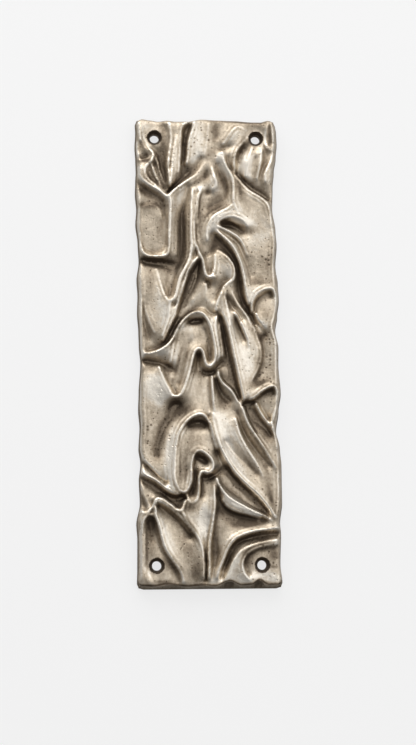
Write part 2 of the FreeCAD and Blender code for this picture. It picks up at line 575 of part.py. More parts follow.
def check(doc, part):
    """Stop if an object failed, or if the part is not one valid solid."""
    for item in doc.Objects:
        if "Invalid" in item.State or "Error" in item.State:
            raise RuntimeError("%s failed: %s" % (item.Label, item.State))
    if part.Shape.isNull() or not part.Shape.isValid() or len(part.Shape.Solids) != 1:
        raise RuntimeError("%s is not one valid solid" % part.Label)


def main():
    doc = FreeCAD.newDocument("finger_plate")
    sheet = make_sheet(doc)
    casting = doc.addObject("Part::Feature", "casting")
    casting.Shape = PlateShape(sheet, folded_front()).solid()
    cutters = []
    for across in (-1, 1):
        for up in (-1, 1):
            name = "hole_%s_%s" % ("right" if across > 0 else "left", "top" if up > 0 else "bottom")
            cutters += add_screw_hole(doc, (across, up), name)
    holes = doc.addObject("Part::MultiFuse", "screw_holes")
    holes.Shapes = cutters
    plate = doc.addObject("Part::Cut", "finger_plate")
    plate.Label = "finger_plate"
    plate.Base = casting
    plate.Tool = holes
    doc.recompute()
    check(doc, plate)
    os.makedirs("parts", exist_ok=True)
    plate.Shape.exportStep("parts/%s.step" % plate.Label)
    box = plate.Shape.BoundBox
    print("finger plate %.1f x %.1f x %.1f mm, %.0f cubic mm" % (
        box.XLength, box.YLength, box.ZLength, plate.Shape.Volume))


main()
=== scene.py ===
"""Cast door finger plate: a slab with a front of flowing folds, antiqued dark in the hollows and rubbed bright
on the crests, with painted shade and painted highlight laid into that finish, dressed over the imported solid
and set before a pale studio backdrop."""

import math

import bmesh
import bpy
import numpy as np
from bpy.props import FloatProperty, FloatVectorProperty, IntProperty, PointerProperty
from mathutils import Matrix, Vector


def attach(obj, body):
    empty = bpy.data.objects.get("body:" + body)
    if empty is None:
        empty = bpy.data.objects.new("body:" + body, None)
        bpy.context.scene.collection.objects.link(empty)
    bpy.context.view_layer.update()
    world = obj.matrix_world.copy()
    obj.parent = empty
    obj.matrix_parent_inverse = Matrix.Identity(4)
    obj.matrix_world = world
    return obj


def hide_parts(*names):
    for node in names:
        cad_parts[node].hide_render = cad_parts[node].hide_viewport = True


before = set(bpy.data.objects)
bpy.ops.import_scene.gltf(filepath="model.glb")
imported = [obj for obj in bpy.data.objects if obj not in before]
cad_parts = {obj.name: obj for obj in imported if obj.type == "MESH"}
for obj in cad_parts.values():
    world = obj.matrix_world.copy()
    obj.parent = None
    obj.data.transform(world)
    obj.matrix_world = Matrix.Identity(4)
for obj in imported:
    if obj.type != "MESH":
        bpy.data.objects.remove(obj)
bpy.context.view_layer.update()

bl_info = {
    "name": "Cast Finger Plate",
    "version": (1, 0, 0),
    "blender": (4, 5, 0),
    "location": "3D View > Sidebar > Finger Plate",
    "description": "Builds the folded front of a cast door finger plate and a studio to show it in",
    "category": "Object",
}

MM = 0.001
CAD_NODE = "finger_plate"
CAD_BODY = "root"

# The folds are drawn on a grid of 77 by 255 millimetres, with a margin round it, that stretches with the plate
GRID_WIDTH = 77.0
GRID_HEIGHT = 255.0
MARGIN = 1.5

# How hard a fold and a foot pull the front to their levels, the half width of a crest, the spacing of the
# points along a fold, and the sweeps in which the front settles between the folds
PULL = 4.0
FOOT_PULL = 2.0
CREST_HALF = 0.3
STEP = 0.2
SWEEPS = 200
OVER_RELAX = 1.9

# No level goes past this one, which keeps the front inside the solid's box
HIGHEST = 9.4

# Random waves of the panels, by length and share
SEED = 7
WAVINESS = ((2.6, 0.75), (1.1, 0.5))

# Fine strands beside each crest, by distance and share, with their width and rise. They and the bright line on
# the crest have their full strength from the full level on. The strands fade between two levels of the front.
STRANDS = ((-3.1, -0.7), (-2.1, 0.8), (-1.1, -1.0), (1.1, -1.0), (2.1, 0.8), (3.1, -0.7))
STRAND_WIDTH = 0.35
STRAND_RISE = 0.35
STRAND_FADE = (-2, 2)
FULL_LEVEL = 8

# Blend round a pad as a share of half the pad, how many times narrower the roll is at the lower end, grid lines
# on a rolled edge, and the angle from which an edge of the mesh is sharp
PAD_BLEND = 1.1
LOWER_ROLL = 6
ROLL_LINES = 7
SHARP_ANGLE = math.radians(50)

# The dark finish, which is patina and also painted shade: what is left on the ground, what standing above the
# surroundings wears off, by their reach and share, which darkens hollows and creases with patina and painted
# shade and lightens rises, what each level wears off, so that deeper places are darker, and how strongly the
# stains, which also hold painted shade and painted highlight, count
GROUND_FINISH = 0.03
CAVITY_PATINA_AND_SHADE = ((0.8, 0.11), (2.6, 0.035), (6.0, 0.012))
DEPTH_PATINA_AND_SHADE = 0.005
STAIN_AND_LIGHT_STRENGTH = 1.6

# Width and strength of the bright line on a crest, rubbed metal and also a painted highlight, and of the darker
# line beside it, a painted shade, and the strands' painted shade in their grooves and painted highlight on
# their ridges
CREST_WEAR_AND_HIGHLIGHT = (0.32, 0.36)
CREST_SHADE_LINE = (1.2, 0.24)
STRAND_SHADE_AND_HIGHLIGHT = 0.16

# Painted shade along the lower rim, a dark line above it: strength, distance and reach
RIM_SHADE_LINE = (0.8, 0.9, 0.5)

# Painted shade in the countersinks and a darker painted shade on their mouths, a darker tone on the back and
# sides, and painted light that lightens the lower side against its shade
SINK_SHADE = 0.75
MOUTH_SHADE = 1.4
SIDE_TONE = 0.5
LOWER_SIDE_PAINTED_LIGHT = 0.2

# How thickly the casting is pitted all over
PITTING = 0.35

# Soft lamps: name, place, width and height in metres, and power in watts
SOFTBOXES = (("key", (-0.25, -0.6, 1.0), 1.6, 0.9, 10.5), ("fill", (0.6, -0.9, 0.1), 0.7, 0.9, 2.0))

# Each fold: name, level or levels along it, left foot, right foot and the points that it runs
# through. A level counts tenths of the rise from the ground (0) to the highest crest (10), and is
# negative in a hollow. A foot is the distance and level of a line beside the fold, to the left or
# right as it is walked, and gives that side a steep wall.
FOLDS = [
    ("rim_top_left", (4, 6), None, (1.6, 0), [(-37, 125.5), (-36.6, 121), (-36, 117), (-35.6, 115)]),
    ("tab_left", (3, 5), (1.4, -1), None, [(-37.6, 114.5), (-37.9, 110), (-37, 106.5), (-36.2, 103.8)]),
    ("tab_foot", (4,), None, (1.5, -6), [(-31.5, 104.6), (-34, 104.2), (-36.2, 103.6)]),
    ("s_upper", (4, 9), (2.4, -5), None, [
        (-34.2, 117.5), (-32.5, 114), (-30.6, 110.5), (-28.9, 107.5), (-29, 104.5), (-30.6, 102.2)]),
    ("s_lower", (8, 6), (2.2, -1), None, [
        (-30.6, 102.2), (-33, 99.8), (-33.4, 97), (-32.3, 94), (-29.8, 91.2), (-26, 88.4), (-22.6, 85.6)]),
    ("pocket_hood", (6, 9), None, (2.2, -6), [
        (-36.6, 99.8), (-36.5, 96), (-35, 92.7), (-31.3, 89.8), (-27, 87.3), (-24, 85.2), (-21.7, 82.6)]),
    ("blade_left", (4, 9), None, (2.6, -4), [
        (-20.3, 125.5), (-19.2, 121), (-18.8, 116.5), (-19.6, 109), (-20.4, 102), (-20.2, 96), (-19.6, 89.5)]),
    ("blade_right", (5, 8), (1.2, 6), None, [(-16, 117), (-17.6, 110), (-18.3, 104), (-18.8, 97), (-19.3, 91)]),
    ("blade_edge", (5, 4), (2, -6), None, [
        (-8.8, 125.8), (-11.6, 124.6), (-13.2, 122), (-13.7, 117), (-14, 110), (-14.4, 103), (-15, 97)]),
    ("sheet_left", (7, 4), None, (2, -6), [
        (-6.2, 126), (-7.2, 121), (-8.7, 116), (-9.4, 111), (-9.8, 106), (-10.6, 102)]),
    ("valley_diagonal", (-5, -8), None, None, [
        (-2.5, 105.5), (-6, 100.5), (-10, 96.8), (-14, 93), (-18, 88.8), (-20.8, 85.8)]),
    ("valley_left", (-2, -7), None, None, [
        (-22, 124), (-21.8, 118), (-22.8, 112), (-24.6, 106), (-25, 100), (-23.8, 94), (-21.6, 87)]),
    ("diagonal", (9, 6, 3, 1), None, None, [
        (-20.4, 83.8), (-17.2, 87.2), (-12.5, 90.8), (-8.5, 93.6), (-5, 96.2), (-2.4, 99.5), (0.5, 104)]),
    ("dish_edge", (-3,), None, None, [
        (-35, 79), (-35.6, 70), (-35.2, 60), (-34, 55.4), (-31, 53.2), (-27, 53), (-24.2, 54.4), (-22.8, 58),
        (-22.6, 66), (-22.8, 74), (-24, 79.6), (-27, 81.4), (-31, 81.4), (-35, 79)]),
    ("triangle_pleat", (-3,), None, None, [(-6.4, 40), (-8.6, 34), (-11.4, 28.6), (-14, 24.4)]),
    ("triangle_pleat_low", (-2,), None, None, [(-3.6, 38), (-4.6, 33), (-6.4, 28.4), (-8, 25.4)]),
    ("fan_outer", (5, 3), None, (1, 0), [(-30, 102.3), (-27.5, 95), (-24.4, 89.4), (-21.8, 86)]),
    ("fan_inner", (4, 3), None, (1, -2), [(-27.2, 105.2), (-25.2, 98.3), (-22.9, 91), (-21.2, 87)]),
    ("sheet_fold", (3, 2), None, (1.2, 1), [(1.8, 125), (1.2, 118), (0.4, 112), (-0.6, 107)]),
    ("blade_groove", (3,), None, None, [(-17.8, 120), (-18.4, 113), (-19, 106), (-19.6, 99)]),
    ("pocket_rim", (2, 9), None, None, [
        (-37.2, 88), (-36.6, 80), (-36.6, 72), (-36.7, 64), (-36.3, 57.5), (-35.2, 53), (-32.6, 50.4),
        (-28, 49.7), (-23.6, 50), (-21.2, 51.6), (-20.4, 56), (-20.2, 64), (-19.8, 72), (-19.6, 79),
        (-20.4, 84)]),
    ("pocket_shadow", (-9, -9), None, None, [
        (-35.2, 48.2), (-31, 47.2), (-26, 46.8), (-21.6, 46.4), (-18.6, 45.6)]),
    ("pocket_top", (-5,), None, None, [(-35.4, 87.5), (-32, 86.2), (-28, 83.6), (-24.6, 80.4)]),
    ("pocket_pad_top", (0,), (1.2, -4), None, [
        (-35, 77.6), (-32.5, 78.6), (-29.5, 79), (-26.8, 78), (-25, 75.5), (-24.2, 71)]),
    ("canal", (-3, -7, -7, -6, -2), None, None, [
        (-9.6, 90), (-11.6, 81), (-13.3, 73), (-13.2, 65), (-13.5, 57), (-14.4, 50), (-16.8, 43.5), (-18.6, 36),
        (-20.4, 28.6)]),
    ("canal_bank", (1,), None, None, [(-16.6, 66), (-16.6, 58), (-16.8, 51)]),
    ("spine_left", (6, 9, 9, 9), (2.4, -2), None, [
        (-7.4, 87), (-8, 79), (-8.3, 71), (-8.4, 63), (-8.3, 56), (-9.2, 49), (-12, 43), (-14.6, 38),
        (-16.3, 32), (-17.6, 27), (-20.2, 24.6)]),
    ("spine_right", (6, 8, 8), (1.8, 1), None, [
        (-2.6, 87), (-4.8, 83.5), (-5.5, 78), (-6.2, 71), (-6.7, 64), (-6, 57.5), (-4.4, 52.4), (-2.4, 48.2),
        (-1.6, 44), (-0.8, 40.2), (0.6, 38.2), (2.5, 38.4), (4.4, 38.6)]),
    ("spine_edge", (8, 8, 6), (2, -7), None, [
        (-5.6, 49), (-8, 45), (-10.4, 40.6), (-12.4, 35.4), (-14, 30), (-15.7, 25), (-17, 20.6),
        (-17.2, 18.4)]),
    ("dark_hollow", (-8,), None, None, [(-4.2, 47), (-5, 42), (-7, 36), (-10, 30), (-13, 24)]),
    ("rim_left_mid", (3, 6, 5), None, None, [
        (-36.1, 46), (-36.2, 38), (-36, 28), (-36, 18), (-35.9, 8), (-35.8, 0), (-34.8, -3.4)]),
    ("vee_left", (2, 8), None, None, [
        (-27.3, 43), (-26.2, 38.5), (-25, 34), (-23.6, 29.5), (-22, 26.3), (-20.2, 24.6)]),
    ("vee_stem", (8, 6), None, None, [(-20.2, 24.6), (-20.9, 20), (-21.6, 15), (-22.8, 10.5), (-24.6, 6)]),
    ("panel_pleat", (2, 5), None, None, [(-34.2, 27), (-33.2, 20), (-31.6, 14.8), (-29.9, 10.6), (-28.6, 8)]),
    ("panel_groove", (-2, -3), None, None, [(-34.6, 24), (-34.2, 16), (-32.6, 9), (-31.5, 4)]),
    ("bank", (6, 4), (1.6, -7), None, [(-17.2, 18.4), (-18.6, 15.4), (-20.6, 11.5), (-22.4, 7.5), (-24, 3.8)]),
    ("gutter", (-4, -7, -7, -5), None, None, [
        (-2.4, 22.6), (-6, 21.4), (-10.4, 18.9), (-14.2, 15), (-17.2, 10.6), (-19.8, 6.4), (-22.6, 2.8),
        (-27, -0.2), (-33, -1.8)]),
    ("arch_outer", (9, 9, 10, 9, 9), None, None, [
        (-34.6, -4), (-30, -3.4), (-25.8, -1.8), (-22, 0.8), (-19, 4.2), (-17.2, 8), (-15.2, 12.2), (-12, 15.8),
        (-8.4, 18.2), (-4.8, 19), (-1.8, 17.4), (0.6, 13.6), (2.4, 8), (3.6, 2), (4.2, -4), (3.4, -8.6),
        (1, -11.2)]),
    ("arch_inner", (9, 9, 9), None, None, [
        (1, -11.2), (-0.9, -9.8), (-1.9, -6), (-2.9, -2.4), (-4.7, -0.8), (-6.8, -2.4), (-8.2, -6), (-9.4, -11),
        (-10.8, -16), (-12.4, -21), (-14.4, -25.4), (-16.6, -27), (-19.2, -26.8)]),
    ("arch_pit", (-8,), None, None, [(-9.4, 13.8), (-6, 15), (-3, 14.6)]),
    ("arch_inside_right", (-2, -3), None, None, [(-1.2, 10), (0.4, 4), (1.2, -2), (0.9, -7.6)]),
    ("arch_slit", (-9, -3), None, None, [(-4.8, -3.6), (-5, -8), (-5.4, -13)]),
    ("arch_pleat", (5, 4), None, None, [(-15.8, 10), (-17.6, 4), (-18.8, -1), (-19.6, -5), (-20.2, -8.4)]),
    ("arch_left_shadow", (-8, -9), None, None, [
        (-35, -7), (-30.5, -7.6), (-26, -8.6), (-22.4, -10.4), (-18.8, -12)]),
    ("turn_shadow", (-8, -9, -8), None, None, [
        (-2.6, -12.4), (-0.6, -14), (2.6, -13.8), (5.8, -10.6), (8.4, -7.2)]),
    ("leg_groove", (-2, -3), None, None, [(-9.4, 3.4), (-12, -2), (-13.6, -8), (-15, -14), (-15.8, -20)]),
    ("rim_left_low", (4, 5, 4), None, None, [
        (-35.6, -9), (-36.3, -16), (-36.4, -24), (-36.4, -32), (-35.8, -40), (-36.3, -50), (-36, -57),
        (-34, -61.2), (-30, -65.6), (-26.4, -69.4), (-23, -72.2)]),
    ("panel_right_edge", (4, 6), (2.2, -3), None, [
        (-26.4, -10.5), (-24.6, -15.5), (-22.4, -20.4), (-20.2, -24.6), (-19.2, -26.8)]),
    ("pit", (-9, -7, -6), None, None, [
        (-15, -31.2), (-18.2, -31.4), (-20.2, -36), (-22.8, -41.6), (-25.4, -47), (-27, -52.4), (-28, -58.6)]),
    ("arch_low", (9, 9, 9, 9, 6), None, None, [
        (-16.4, -76.4), (-18, -72.6), (-18.6, -67), (-18.4, -60), (-17.8, -53.5), (-16.4, -47.6),
        (-13.8, -42.8), (-10.4, -39.2), (-7, -37.2), (-4, -36.6), (-1.4, -37.8), (0.4, -41), (1.6, -46),
        (2.8, -51), (4.2, -55)]),
    ("arch_low_pit", (-7,), None, None, [(-10.4, -42.4), (-7, -40.8), (-3.6, -40.6), (-1.4, -43)]),
    ("arch_low_lobe", (6, 8), None, None, [(-21.2, -60), (-21.4, -66), (-20.6, -72), (-18.6, -77.6)]),
    ("tip_left", (8,), (2, -8), None, [
        (-9.2, -67), (-9.4, -71.4), (-10.6, -75), (-11.8, -77.4), (-13.4, -78.4), (-15.2, -77.6)]),
    ("tip_inner", (3, 7), None, None, [(-11, -66), (-11.2, -71), (-12.2, -75.6), (-13.4, -78.4)]),
    ("tip_outer", (8,), None, None, [(-16.4, -76.4), (-15.2, -77.8), (-13.4, -78.4)]),
    ("hook", (6, 8, 8, 8, 6), None, None, [
        (-9.4, -66), (-8.7, -60.4), (-7, -56.9), (-4.4, -56.2), (-1.8, -57.6), (0.9, -60.2), (2.4, -63.4),
        (1.8, -66.6), (-0.6, -68.2), (-3.2, -67.2), (-4.9, -68.6), (-5.4, -73), (-5.5, -78.6), (-6.8, -82.4),
        (-9.2, -83.9), (-11.2, -82.2), (-11.8, -79.8)]),
    ("hook_pit", (-8, -7), None, None, [(-6.2, -59.4), (-3.4, -60.4), (-0.8, -62.4)]),
    ("hook_groove", (-4, -5, -3), None, None, [(-7.3, -62), (-7.5, -68), (-7.8, -74), (-8.6, -79.6)]),
    ("hook_shadow", (-9, -9), None, None, [
        (-3.4, -70.4), (-0.5, -70.6), (3.2, -69.2), (7.4, -66), (10.2, -66.2)]),
    ("left_groove", (-5, -4), None, None, [
        (-36, -61.6), (-33.4, -63.8), (-30, -67.2), (-26.6, -70.6), (-22.6, -73.4)]),
    ("left_fold", (4, 8, 8), None, (2.2, -8), [
        (-36.3, -63.5), (-35.6, -67), (-33.6, -69.2), (-29, -71.4), (-25.4, -74.2), (-21.8, -77.2),
        (-18.4, -79), (-15.4, -79)]),
    ("left_hollow", (-6,), None, None, [(-35.4, -72.4), (-31.5, -75), (-27, -78.4)]),
    ("left_shadow", (-9,), None, None, [(-24, -79.2), (-20, -81.2), (-16, -82), (-12.8, -81.4)]),
    ("left_rim_line", (2, 3), None, None, [(-36.8, -73.5), (-35.4, -78), (-33.6, -82), (-31.8, -85.6)]),
    ("left_cup", (-2, -4), None, None, [(-35.6, -80), (-34.8, -84), (-34, -87)]),
    ("branch", (6, 8, 8, 8), None, None, [
        (-36.4, -88.2), (-34, -89.4), (-31.4, -87.8), (-29.6, -84.6), (-28.4, -82.2), (-26.6, -81.6),
        (-23.6, -82.8), (-20.6, -84.8), (-18.2, -87.2), (-15.8, -88.2), (-14.2, -87)]),
    ("branch_up", (8, 6), None, None, [(-14.4, -88), (-13.4, -84.6), (-12.9, -82.4)]),
    ("branch_cup", (-6,), None, None, [(-21.5, -82.4), (-18.4, -84.4), (-16.4, -85.8)]),
    ("branch_down", (8, 7, 4), None, (2.4, -7), [
        (-27.8, -82.6), (-23.6, -84.4), (-19.6, -87.6), (-16.4, -90.4), (-13, -94), (-10.2, -97.6),
        (-7.6, -100.6)]),
    ("panel_left_lip", (7, 6), None, None, [
        (-14.2, -87.4), (-13.6, -90.4), (-12.2, -93.6), (-9.6, -97.4), (-7.6, -100), (-5.4, -104), (-3.6, -109),
        (-2.9, -116), (-3, -124)]),
    ("leaf_left", (8, 7, 7, 5), None, (2, -3), [
        (-28.4, -82.6), (-28.4, -87), (-28.6, -90.4), (-27.4, -93.8), (-26.2, -98), (-25.1, -103),
        (-23.4, -108.2), (-20.6, -113), (-17.4, -117.2), (-15, -121.4), (-14, -126)]),
    ("corner_arch", (6, 7, 6), None, None, [
        (-35.9, -100), (-35.6, -94.6), (-33.8, -91), (-31.6, -89.9), (-29.6, -90.8)]),
    ("corner_pit", (-7, -4), None, None, [(-31.6, -93.4), (-31, -96.6), (-30, -104)]),
    ("rim_left_bottom", (6, 5, 3), None, None, [
        (-36.3, -92), (-36.5, -100), (-36.4, -108), (-36.2, -116), (-36.3, -124)]),
    ("rim_left_inner", (3, 3), None, None, [
        (-34.8, -100), (-34.6, -108), (-34.8, -116), (-34, -122), (-31.5, -126)]),
    ("centre_right", (6, 8, 6), (2, -3), None, [
        (2.6, -75), (3, -84), (2.2, -91), (1, -98), (0, -104), (-0.5, -111), (-0.4, -117), (-0.8, -124)]),
    ("centre_groove", (3, -3, -7), None, None, [
        (0.2, -92), (-1, -100), (-1.8, -108), (-2, -116), (-2.2, -125)]),
    ("centre_left_dark", (-6, -3), None, None, [(-3.2, -71.6), (-3.8, -76), (-4.2, -81)]),
    ("right_dark", (-6, -7, -7), None, None, [
        (4.2, -79), (6.2, -83), (9, -87.4), (13.4, -90), (19, -91.4), (26, -92.4), (31, -93.6)]),
    ("slit", (-3, -6, -3), None, None, [(3.6, -103), (3.8, -111), (2.8, -118)]),
    ("blade_low", (6, 8, 8, 5), None, None, [
        (4, -70.6), (5.6, -75), (8.2, -79), (12, -82.4), (17, -85.2), (22.5, -88), (28, -90.4), (34, -93.8)]),
    ("blade_low_groove", (-3, -4, -6), None, None, [
        (6, -72.4), (9, -75.6), (13, -78.8), (18, -82.4), (23, -85.8), (29, -89.4)]),
    ("great_edge", (5, 8, 9, 9, 8), None, (2.4, -7), [
        (2.6, -36.6), (3.2, -42), (4.4, -47.4), (5.8, -52.6), (8, -58), (10.8, -63.2), (14, -68), (17.6, -72),
        (21.4, -75.6), (25.2, -79), (28.6, -82.8), (31.6, -86.8), (34, -90.2), (35.6, -92)]),
    ("great_shadow", (-8, -8), None, None, [(10.6, -67), (15, -72.6), (20.6, -78), (26, -83), (31, -88.4)]),
    ("great_pleat", (4, 5, 4), None, None, [
        (14.6, -39), (16.4, -46), (19.2, -52.4), (22.4, -58), (26, -64), (29, -70)]),
    ("great_groove", (1, -1), None, None, [(9, -51), (13.6, -57), (18, -61.6), (22, -65), (26, -69)]),
    ("strap_groove", (-3, -6, -5, -2), None, None, [
        (15.6, -35), (17.6, -42), (20.6, -48.6), (24.6, -54.6), (29, -60), (33.4, -65)]),
    ("strap", (6, 8, 7, 5), None, None, [
        (18.2, -32.4), (20.4, -39.4), (23.2, -45), (26.6, -50.2), (30, -55.6), (33, -60.6), (36, -65.6)]),
    ("strap_dark", (-7, -4), None, None, [(20.8, -33.4), (22.6, -39.4), (25.8, -45.6)]),
    ("strap_far_dark", (-8, -7), None, None, [(24.8, -33.4), (27.6, -38.8), (31, -43.2), (33.6, -48)]),
    ("cup_lower", (7, 8, 8, 5), None, (1.8, -6), [
        (22.4, -28.4), (24.8, -27.4), (28, -24.8), (31, -22.8), (34.4, -21.4), (36.4, -22), (37.2, -25)]),
    ("cup_lower_edge", (3, 6), None, (1.8, -7), [(33.4, -43), (30.4, -39.2), (27.6, -34.8), (25.6, -30.6)]),
    ("rim_right_two", (5, 6), None, None, [
        (37.2, -25), (37, -31), (35.6, -36), (34.3, -40), (34.6, -44.4), (36, -49.6), (36.8, -55)]),
    ("rim_right_low", (4, 4), None, None, [
        (36.9, -56), (37, -64), (37, -72), (37, -80), (36.6, -86), (35.6, -92)]),
    ("cup_upper", (6, 8, 8, 5), None, (1.8, -6), [
        (24.2, 19.4), (24.3, 23.4), (25.6, 26.9), (28.2, 29.8), (31.2, 31.6), (34.4, 32.3), (36.2, 31.4),
        (37.2, 28.4)]),
    ("cup_upper_edge", (3, 5), (1.8, -6), None, [(31.8, 10.8), (29.8, 13), (27.6, 15.4), (26.4, 18.6)]),
    ("rim_right_one", (4, 5, 4), None, None, [
        (37.2, 28.4), (37.4, 22), (36, 16.6), (34.6, 11.6), (35.6, 7.4), (36.9, 2), (36.9, -6), (36.8, -14),
        (36.4, -20.4)]),
    ("shoulder", (5, 9, 10, 9, 8), None, (2.4, -7), [
        (5.2, 64.8), (8.4, 61.8), (12, 58.2), (14.9, 54.2), (17.2, 49.2), (18.9, 44), (20, 38.6), (20.7, 33),
        (21.5, 28), (22.4, 23.8)]),
    ("shoulder_groove", (1, 0, 1), None, None, [
        (7.4, 65.2), (12.5, 61.6), (16.4, 58.8), (18.9, 54.8), (20.8, 49.4), (23, 43.6), (24, 39)]),
    ("shoulder_top", (6, 7, 4), None, None, [
        (6.2, 66.6), (10, 65), (14.4, 62.6), (17.8, 59.8), (20.2, 56.2), (22, 51)]),
    ("shell_hollow", (-8, -9, -5), None, None, [
        (9, 67.8), (12, 68.2), (15.4, 67.4), (18.6, 65.6), (20.2, 63.8)]),
    ("shell_lip", (6, 8, 6), None, None, [
        (6, 69), (9, 71.2), (13, 72.2), (17, 71.6), (20.4, 69.6), (22.4, 67)]),
    ("mast", (6, 8, 9, 9, 7), None, None, [
        (9.2, 109), (9.9, 104.6), (11.6, 100), (13.5, 96.2), (14.8, 92), (15.1, 86.6), (14.9, 81.4),
        (16.4, 76.6), (18, 73.6)]),
    ("mast_groove", (-3, -5, -4), None, None, [
        (6.6, 102.4), (8.4, 97.6), (10.4, 92.8), (11, 88), (9.8, 83.2), (6, 79.8), (1.6, 77.4)]),
    ("cowl", (8, 7, 4), None, None, [
        (14.8, 79.2), (11.6, 76.6), (7.4, 74.4), (3.8, 71.8), (1.4, 68), (0.2, 63.6), (0.8, 59)]),
    ("shoulder_hollow", (-2, -5, -7), None, None, [
        (4.4, 63.4), (4, 58), (6.6, 56.4), (10.4, 53.4), (14, 50.4), (16.6, 46), (17.2, 40), (17.4, 33),
        (19.6, 26.4), (22.6, 20)]),
    ("tongue_hollow", (-4, -5), None, None, [(-1.4, 51), (0.8, 51.4), (3.2, 54), (5.6, 55.6)]),
    ("tongue_groove", (1, -1), None, None, [(1.8, 50), (2.2, 45.4), (1.6, 41.4)]),
    ("tongue_right", (5, 7), None, None, [(4.6, 51), (4.5, 46), (3.9, 42), (2.4, 39.2), (0.7, 38.2)]),
    ("bulb_edge", (3, 7, 7, 6, 4), None, None, [
        (5.8, 53.4), (9.4, 51.2), (12.8, 47.8), (15, 44), (15.3, 40), (14, 36.9), (11.4, 35.2), (9.2, 32.8),
        (7.8, 30)]),
    ("tongue_foot", (-8, -8), None, None, [(-0.6, 36.4), (1.2, 36.2), (1.4, 33.6)]),
    ("bulb_shadow", (-3, -5, -3), None, None, [(11.6, 37.6), (8.8, 35.6), (6.8, 33), (5.2, 29.6), (4, 26)]),
    ("tongue_trail", (1, 1), None, None, [(-0.4, 35.6), (-0.3, 31), (-0.3, 26.6)]),
    ("star_left", (6, 4), None, None, [(7.8, 30), (6.2, 26), (5, 22), (4.6, 20)]),
    ("star_right", (6, 5, 7), None, None, [(9.6, 31), (10.2, 26), (10.9, 21.4), (11.8, 16.4), (12.4, 12)]),
    ("star_pit", (-5,), None, None, [(-0.4, 21.6), (1.6, 19), (4, 18.8)]),
    ("long_edge", (5, 8, 9, 8, 7), None, (2.2, -6), [
        (8, 19.4), (10, 14.8), (11.4, 10.4), (12.4, 5.4), (13.4, 0), (14.5, -6), (16, -13), (17.4, -20),
        (18.6, -25.6), (19.4, -28.8)]),
    ("long_edge_dark", (-7, -7, -7, -7), None, None, [
        (7, 17), (8.4, 10), (9.6, 3), (10.8, -4), (12.6, -12), (14.8, -20), (17.2, -27.6)]),
    ("arch_right_second", (6, 7, 5), None, None, [
        (5.4, 17), (4.4, 12), (5, 5), (6, -1), (6.2, -4.4), (5, -7.8)]),
    ("arch_right_panel", (3, 3), None, None, [(6.4, 13), (7.2, 6), (8, -1), (8.2, -4.8)]),
    ("slot", (-4, -4, -1), None, None, [(15.6, 16), (17, 11.6), (18.6, 7.6), (20.4, 3.6)]),
    ("slot_edge", (6, 7, 4), None, None, [
        (14.8, 19.4), (16.8, 16), (18.5, 12.2), (20, 8.4), (21.8, 3.6), (22.6, -1)]),
    ("band_groove", (-3, -4, -2), None, None, [(9.8, 29), (12, 25), (14.8, 21), (17.4, 17.4), (18.4, 14.4)]),
    ("band", (2, 5, 4), None, None, [(13.2, 31), (15.6, 25.6), (18.8, 20.6), (22.4, 15.6), (24, 10)]),
    ("leaf_right_edge", (3, 4, 3), (1.6, -3), None, [
        (24.2, 14), (25.6, 9.4), (27, 5), (28.4, 1), (29, -3.6), (28.2, -8.4), (26.4, -13), (23.6, -18)]),
    ("knot", (-9,), None, None, [(21.6, 21.6), (22.8, 18.6), (24.4, 17), (26, 12)]),
    ("cup_upper_hollow", (-6,), None, None, [(31.6, 7.4), (29.4, 4.4)]),
    ("sliver", (3, 6, 6, 4), None, None, [
        (5.4, -12), (5.9, -16), (8, -19.7), (10.8, -22.2), (13.4, -25), (15.3, -28.4), (18, -31.6)]),
    ("sliver_left_dark", (-7, -7), None, None, [(4.6, -17), (6, -22), (9, -27), (12.4, -29.4)]),
    ("sliver_right_dark", (-6, -6), None, None, [(7.6, -15.6), (10.4, -19), (13.4, -22), (15.6, -25.6)]),
    ("centre_ridge", (4, 6, 4), None, (1.8, -3), [(2.2, -15.6), (2.3, -22), (2.6, -28), (3.2, -34.4)]),
    ("junction_dark", (-9, -9), None, None, [(18.8, -31.6), (21.5, -30.6), (24.6, -30)]),
    ("top_fold", (3, 6, 4), None, None, [
        (9.6, 113.2), (12.4, 117.2), (15.4, 121.4), (18.6, 123), (22.8, 121.6)]),
    ("top_groove", (-3,), None, None, [(8.2, 110.8), (10.6, 112), (13.4, 112.4)]),
    ("top_dip", (-2,), None, None, [(6.6, 124), (6.4, 120.4), (6.6, 117)]),
    ("top_edge", (4, 6, 4), (2.4, -5), None, [
        (23.6, 118.4), (20.6, 114.4), (17.6, 110.6), (16, 106.4), (15.6, 101), (16, 97.6)]),
    ("mast_side", (-3, -4), None, None, [(12, 106.6), (12.3, 103), (13.8, 100), (16, 97.4)]),
    ("leaf_pleat_left", (4, 5, 2), None, None, [(26, 112), (24, 106), (22.6, 100), (21.6, 95)]),
    ("leaf_pleat_right", (5, 6, 2), None, None, [(30.8, 111), (30.6, 105), (29.4, 99), (28.2, 94)]),
    ("leaf_pleat_groove", (1, -1), None, None, [(27.4, 106), (26.6, 100), (25.8, 94)]),
    ("leaf_side_groove", (-2, -3, -2), None, None, [
        (32.6, 113), (33.6, 108), (33, 103), (31, 98.4), (30, 94), (30.6, 90)]),
    ("leaf_shadow", (-7, -8, -7), None, None, [
        (16.6, 98.4), (19.4, 94.8), (22.8, 90.8), (26.6, 87.8), (30.6, 85.4), (34.6, 82.6)]),
    ("lower_sheet", (6, 7, 7, 6), None, None, [
        (15.8, 95.4), (18.8, 92), (22, 88.4), (26, 85.4), (30, 83), (33, 80.4), (34.8, 76.4), (35.4, 72),
        (35.8, 67)]),
    ("rim_right_top", (3, 5, 4), None, None, [(37.4, 110), (36.4, 105), (34.8, 101), (33, 97), (32.6, 92.6)]),
    ("loop_left", (3, 6, 4), None, None, [
        (35, 126.4), (33.6, 122), (33.2, 117), (33.7, 112.8), (35.4, 110.6), (37.4, 110)]),
